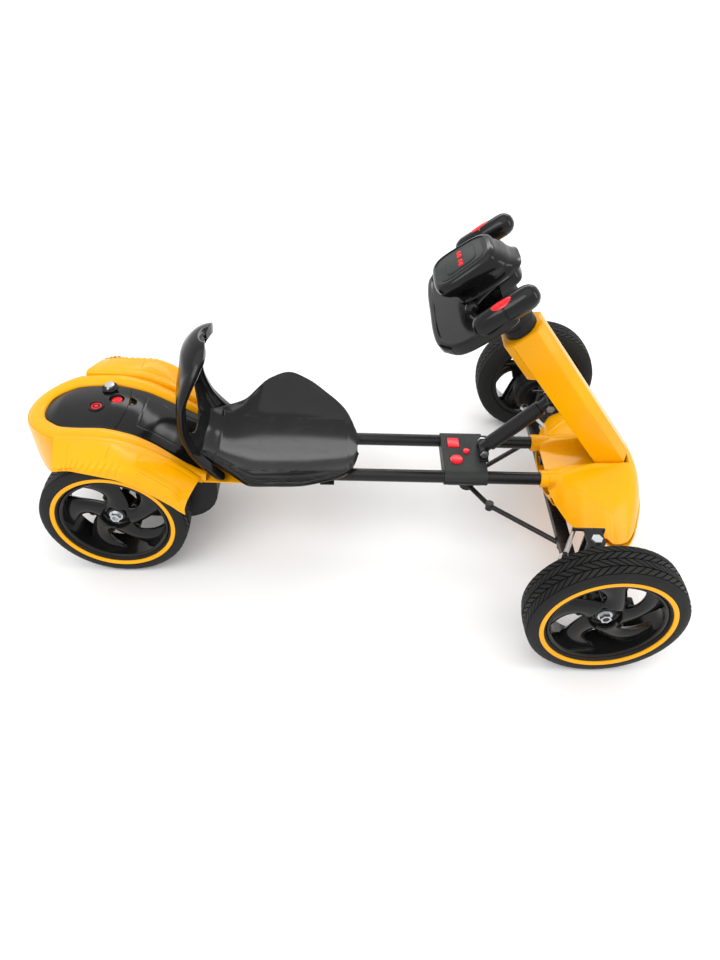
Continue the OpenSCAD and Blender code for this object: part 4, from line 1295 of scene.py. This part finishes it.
@dataclass
class Column:
    """The steering column's shrouds, and the horned steering wheel with its pod."""

    mould: Mould
    tray_low: float = 427.0
    tray_thick: float = 20.0
    horn_y: float = 115.0
    horn_r: float = 17.0
    horn_up: float = 19.0
    stand: Matrix = field(default_factory=Matrix)

    def build(self) -> None:
        """Finds the column from its joint and builds its pieces."""
        turn = next(j for j in frame["joints"] if j["name"] == "steering_turn")
        up = Vector(turn["axis"]).normalized()
        forward = Vector((0, 1, 0)).cross(up).normalized()
        self.stand = Matrix.Translation(turn["pos_m"]) @ axes(forward, Vector((0, 1, 0)), up)
        self._shroud_cap()
        self._tray()
        self._horns()
        self._pod()
        self._collar()

    def _place(self, a: float = 0, b: float = 0, t: float = 0) -> Matrix:
        """Gives the matrix of a point in the column's own frame, in millimetres."""
        return self.stand @ shift(a, b, t)

    def _shroud_cap(self) -> None:
        """Closes the shroud's top with a rounded shoulder round the collar."""
        ring = [
            (-33.4, -16.5), (-21, -29.6), (20, -29.6), (33.6, -16.8), (33.6, 16.8), (20, 29.6), (-21, 29.6),
            (-33.4, 16.5),
        ]
        bm = self.mould.plate(ring, 9)
        bm.normal_update()
        top = [e for e in bm.edges if all(v.co.z > 8 * MM for v in e.verts)]
        self.mould.bevel(bm, top, 3.2, 4)
        self.mould.add(bm, "shroud_cap", "chassis", Slot.YELLOW, matrix=self._place(t=330.6), crease=40)

    def _tray(self) -> None:
        """Shapes the tray: a thick rounded plate with a raised lip and a sunk floor."""
        outline = Path((
            (-97, 0), (-97, 50), (-93, 88), (-84, 104), (-70, 121), (-52, 129), (-30, 131), (-4, 131), (14, 130),
            (24, 122), (20, 104), (4, 98), (-12, 92), (-24, 80), (-26, 66), (-14, 52), (10, 42), (34, 38),
            (44, 30), (47, 12), (47, 0),
        ))
        half = [outline.at(i / 60) for i in range(61)]
        ring = half + [(a, -b) for a, b in reversed(half[1:-1])]
        bm = self.mould.plate(ring, self.tray_thick)
        self.mould.round_edges(bm, 4.5, 4, 60)
        bm.normal_update()
        top = max(bm.faces, key=lambda f: f.normal.z * f.calc_area())
        bmesh.ops.inset_region(bm, faces=[top], thickness=3.5 * MM, depth=0, use_even_offset=True)
        bmesh.ops.inset_region(bm, faces=[top], thickness=2.0 * MM, depth=-2.6 * MM, use_even_offset=True)
        self.mould.add(
            bm, "steering_tray", "steering", Slot.GLOSS, ["steering_wheel"], self._place(t=self.tray_low), crease=40
        )

    def _horns(self) -> None:
        """Turns the two grips, each with a cover line and a rounded end."""
        r = self.horn_r
        profile = [
            (0, -34), (6, -33.6), (11, -31.5), (14.6, -27), (r, -19), (r, 12), (r - 0.9, 12.8), (r - 0.9, 14),
            (r, 14.8), (r, 44), (r - 0.8, 50), (r - 3, 55.5), (r - 7, 59.5), (6, 61.8), (0, 62.4),
        ]
        for side, name in SIDES:
            turn = Matrix.Rotation(math.radians(-90 - 4 * side), 4, "Z")
            place = self._place(0, side * self.horn_y, self.tray_low + self.horn_up)
            self.mould.add(
                self.mould.lathe(profile, 40), f"grip_{name}", "steering", Slot.GLOSS, matrix=place @ turn, crease=40
            )
            self.mould.add(
                self._pad(), f"thumb_inlay_{name}", f"thumb_{name}", Slot.RED, [f"thumb_pad_{name}"],
                self._place(14, side * (self.horn_y + 1), self.tray_low + self.horn_up),
            )

    def _pad(self) -> Mesh:
        """Shapes an oval inlay that follows the grip's round top.

        Returns:
            The inlay.
        """

        def place(u: float, v: float) -> Vector:
            """Places a point of the inlay.

            Args:
                u: Along the grip.
                v: Across the grip.

            Returns:
                The point in millimetres.
            """
            s, t = 2 * u - 1, 2 * v - 1
            a = s * math.sqrt(1 - t * t / 2)
            b = t * math.sqrt(1 - s * s / 2)
            out = min(1.0, math.hypot(a, b))
            x, y = 15.5 * a, 9.2 * b
            z = math.sqrt(self.horn_r**2 - y * y) + 0.9 * (1 - out**6) - 0.5
            return Vector((x, y, z))

        bm = self.mould.sheet(20, 14, place)
        self.mould.wall(bm, 2.5)
        return bm

    def _pod(self) -> None:
        """Shapes the hood over the wheel's middle, its sunk plate and its rockers."""
        heights = Path((
            (447, 0, 47, 43), (450, -1, 45, 41), (456, -4, 44, 40), (462, -8, 45, 42), (468, -12, 48, 45),
            (476, -14, 50, 46.5), (484, -15, 49, 45.5), (488.5, -15.5, 46.5, 43), (490.3, -16, 43, 39.5),
            (490.6, -16, 41.5, 38), (489.4, -16, 40.5, 37), (489.4, -16, 20, 18), (489.4, -16, 0.02, 0.02),
        ))

        def place(u: float, v: float) -> Vector:
            """Places a point of the hood.

            Args:
                u: Round the hood.
                v: Up its side, then in to the middle of its top.

            Returns:
                The point in millimetres.
            """
            t, c, ra, rb = heights.at(v)
            x, y = squarish(u * math.tau, 0.55)
            bulge = 8 * max(0.0, x) * (1 - step(462, 482, t))
            narrow = 1 - 0.10 * x * step(465, 485, t)
            return Vector((c + ra * x + bulge, rb * y * narrow, t))

        bm = self.mould.sheet(96, 60, place)
        bmesh.ops.remove_doubles(bm, verts=bm.verts, dist=2e-5)
        bmesh.ops.recalc_face_normals(bm, faces=bm.faces)
        self.mould.add(bm, "wheel_hood", "steering", Slot.GLOSS, ["wheel_pod"], self._place(), crease=40)
        self._panel_lines()
        knob = self.mould.lathe([(0, 0), (10, 0), (10, 5), (8.6, 9), (5.5, 11.4), (0, 12.4), (0, 0)], 32)
        spot = self._place(-30, -62, self.tray_low + 17)
        self.mould.add(knob, "tray_boss", "steering", Slot.GLOSS, matrix=spot @ UPRIGHT)
        for side, name in SIDES:
            bm = bmesh.new()
            for s in (-4.6, 4.6):
                dome = self.mould.lathe(
                    [(0, -4), (4.3, -4), (4.3, 0), (3.6, 1.9), (2.0, 3.0), (0, 3.4), (0, -4)], 28
                )
                Mould.merge(bm, dome, shift(y=s) @ UPRIGHT)
            self.mould.add(
                bm, f"rocker_domes_{name}", f"pod_{name}", Slot.RED, [f"pod_rocker_{name}"],
                self._place(-16, side * 12, 490.2),
            )

    def _panel_lines(self) -> None:
        """Lays the plate in the hood's top and the arched bead on it."""
        for name, size, rise, slot in (
            ("hood_plate", (35, 31), 0.9, Slot.GREY), ("hood_bead", (24, 25), 1.5, Slot.SATIN),
            ("hood_field", (22.4, 23.4), 1.9, Slot.GREY),
        ):
            ring = []
            for i in range(64):
                x, y = squarish(i / 64 * math.tau, 0.4)
                ring.append((size[0] * x, size[1] * y * (1 - 0.08 * x)))
            bm = self.mould.plate(ring, rise + 2)
            self.mould.round_edges(bm, 0.35, 2, 40)
            self.mould.add(bm, name, "steering", slot, matrix=self._place(-16, 0, 487.2), crease=40)

    def _collar(self) -> None:
        """Turns the collar under the wheel, with its step and seam."""
        bm = self.mould.lathe(
            [(9, 340), (24.5, 340), (26, 341.5), (26.6, 356), (25.6, 357), (25.6, 359), (26.8, 360), (28.4, 418),
             (30, 420), (30, 426.8), (9, 426.8), (9, 340)], 64,
        )
        self.mould.add(
            bm, "wheel_collar", "steering", Slot.SATIN, ["steering_collar"], self.stand @ UPRIGHT, crease=35
        )


@dataclass
class Hardware:
    """Pieces that keep their CAD shape but get rounded edges, and small fittings."""

    mould: Mould

    def build(self) -> None:
        """Rounds each hard piece, and dresses the nodes that stay as they are."""
        for node, width, slot in (
            ("box_upper", 1.6, Slot.GREY), ("box_lower", 1.2, Slot.SATIN), ("direction_rocker", 0.9, Slot.RED),
            ("speed_button", 0.8, Slot.RED), ("start_button", 0.8, Slot.RED), ("shroud_front", 1.1, Slot.YELLOW),
            ("shroud_rear", 0.9, Slot.YELLOW), ("front_frame", 0.8, Slot.PAINT), ("latch_plate", 0.5, Slot.SATIN),
            ("latch_knob", 0.5, Slot.ZINC), ("strut_brackets", 0.5, Slot.SATIN_PAINT),
            ("column_foot", 0.8, Slot.SATIN_PAINT), ("seat_brackets", 0.6, Slot.SATIN_PAINT),
            ("rear_axle_brackets", 0.6, Slot.PAINT), ("belly_tray", 0.9, Slot.SATIN),
        ):
            self._rounded(node, width, slot)
        self._gearboxes()
        slots = {s["node"]: s["material_slot"] for s in frame["record"]["subparts"]}
        for name, node in frame["nodes"].items():
            if node.hide_render:
                continue
            material = self.mould.shop.material(Slot(slots[name]))
            if node.data.materials:
                for i in range(len(node.data.materials)):
                    node.data.materials[i] = material
            else:
                node.data.materials.append(material)

    def _rounded(self, node: str, width: float, slot: Slot) -> None:
        """Replaces a hard CAD node by its own shape with rounded edges.

        Args:
            node: Name of the node.
            width: Size of the rounds in millimetres.
            slot: Finish.
        """
        bm = self.mould.copy_of(node)
        if node == "shroud_front":
            self._trim_foot(bm)
        self.mould.round_edges(bm, width, 3, 35)
        body = frame["nodes"][node]["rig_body"]
        self.mould.add(bm, f"{node}_moulded", body, slot, [node], crease=40)

    @staticmethod
    def _trim_foot(bm: Mesh) -> None:
        """Cuts the shroud's toe off behind the nose's dome and closes the cut.

        Args:
            bm: The shroud's mesh.
        """
        toe = Vector((middle("tyre_front_left").x + 94 * MM, 0, 190 * MM))
        out = bmesh.ops.bisect_plane(
            bm, geom=bm.verts[:] + bm.edges[:] + bm.faces[:], plane_co=toe, plane_no=Vector((0.94, 0, -0.34)),
            clear_outer=True,
        )
        rim = [e for e in out["geom_cut"] if isinstance(e, bmesh.types.BMEdge)]
        bmesh.ops.holes_fill(bm, edges=rim, sides=0)

    def _gearboxes(self) -> None:
        """Turns each gear housing, with ribs round it and screws in its cover."""
        for side, name in SIDES:
            low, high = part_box(f"gearbox_{name}")
            inner, outer = (low.y, high.y) if side > 0 else (-high.y, -low.y)
            y0, y1 = inner / MM, outer / MM
            r = (high.z - low.z) / 2 / MM
            bm = self.mould.lathe(
                [(6, y0), (30, y0), (31, y0 + 1.5), (r - 6, y0 + 1.5), (r - 2.5, y0 + 4), (r - 2, y0 + 16),
                 (r, y0 + 17), (r, y0 + 20), (r - 1.5, y0 + 21), (r - 1.5, y1 - 6), (r - 4, y1 - 4),
                 (40, y1 - 3.6), (39, y1), (6, y1), (6, y0)], 72,
            )
            for i in range(6):
                rib = self.mould.block(4, 12, 3)
                self.mould.round_edges(rib, 0.6, 2)
                turn = Matrix.Rotation((i + 0.5) * math.tau / 6, 4, "Y")
                Mould.merge(bm, rib, turn @ shift(r - 2.2, y0 + 10.5))
                screw = self.mould.lathe(
                    [(0, -4), (4, -4), (4.4, 1), (3.4, 1.9), (1.6, 1.9), (1.2, 0.6), (0, 0.6)], 20
                )
                Mould.merge(bm, screw, turn @ shift(33, y1))
            at = middle(f"gearbox_{name}")
            place = Matrix.Translation((at.x, 0, at.z)) @ Matrix.Diagonal((1, side, 1, 1))
            self.mould.add(bm, f"gear_housing_{name}", f"carrier_{name}", Slot.SATIN, [f"gearbox_{name}"], place)


@dataclass
class Studio:
    """The floor, the lights and the camera."""

    spot: tuple[float, float, float] = (0.0140, -0.9523, 0.9792)
    yaw: float = 0.022
    pitch: float = 0.75
    roll: float = 0.037
    lens: float = 26.87

    def build(self) -> None:
        """Sets the stage."""
        self._camera()
        self._floor()
        self._lights()

    def _camera(self) -> None:
        """Adds the camera, turned by its yaw, pitch and roll."""
        data = bpy.data.cameras.new("camera")
        data.sensor_width = 36
        data.lens = self.lens
        camera = show("camera", data)
        ahead = Vector((math.sin(self.yaw), math.cos(self.yaw), 0))
        look = ahead * math.cos(self.pitch) - UP * math.sin(self.pitch)
        level = Vector((math.cos(self.yaw), -math.sin(self.yaw), 0))
        up = level.cross(look)
        right = level * math.cos(self.roll) + up * math.sin(self.roll)
        top = up * math.cos(self.roll) - level * math.sin(self.roll)
        camera.matrix_world = Matrix.Translation(self.spot) @ axes(right, top, -look)
        bpy.context.scene.camera = camera

    def _floor(self) -> None:
        """Adds the plain pale floor and the even light round it."""
        mesh = bpy.data.meshes.new("floor")
        bm = bmesh.new()
        bmesh.ops.create_grid(bm, x_segments=1, y_segments=1, size=80)
        bm.to_mesh(mesh)
        bm.free()
        floor = show("floor", mesh)
        mat = bpy.data.materials.new("floor")
        mat.use_nodes = True
        shader = mat.node_tree.nodes["Principled BSDF"]
        shader.inputs["Base Color"].default_value = (0.86, 0.86, 0.86, 1)
        shader.inputs["Roughness"].default_value = 0.9
        mesh.materials.append(mat)
        world = bpy.data.worlds.new("studio")
        world.use_nodes = True
        world.node_tree.nodes["Background"].inputs[0].default_value = (1, 1, 1, 1)
        world.node_tree.nodes["Background"].inputs[1].default_value = 1.0
        bpy.context.scene.world = world
        bpy.context.scene.view_settings.view_transform = "Standard"

    @staticmethod
    def _lights() -> None:
        """Adds three soft boxes that also show as long reflections in the black plastic."""
        data = bpy.data.lights.new("sky", "SUN")
        data.energy, data.angle = 0.8, math.radians(70)
        sky = show("sky", data)
        sky.rotation_euler = (math.radians(18), math.radians(-14), 0)
        for name, where, size, power in (
            ("key", (-1.2, -1.4, 2.2), (1.6, 0.8), 14), ("side", (1.9, -0.6, 1.5), (0.5, 1.6), 9),
            ("back", (0.2, 1.9, 1.7), (2.2, 0.4), 12),
        ):
            data = bpy.data.lights.new(name, "AREA")
            data.shape, data.size, data.size_y, data.energy = "RECTANGLE", size[0], size[1], power
            lamp = show(name, data)
            lamp.location = where
            lamp.rotation_euler = (Vector((0, 0, 0.15)) - Vector(where)).to_track_quat("-Z", "Y").to_euler()


def main() -> None:
    """Builds the kart's looks and its studio."""
    logging.basicConfig(level=logging.INFO, format="%(name)s: %(message)s")
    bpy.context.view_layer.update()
    mould = Mould(PaintShop())
    Studio().build()
    for group in (Wheels(mould), RearBody(mould), Seat(mould), Nose(mould), Column(mould), Hardware(mould)):
        group.build()


if __name__ == "__main__":
    main()
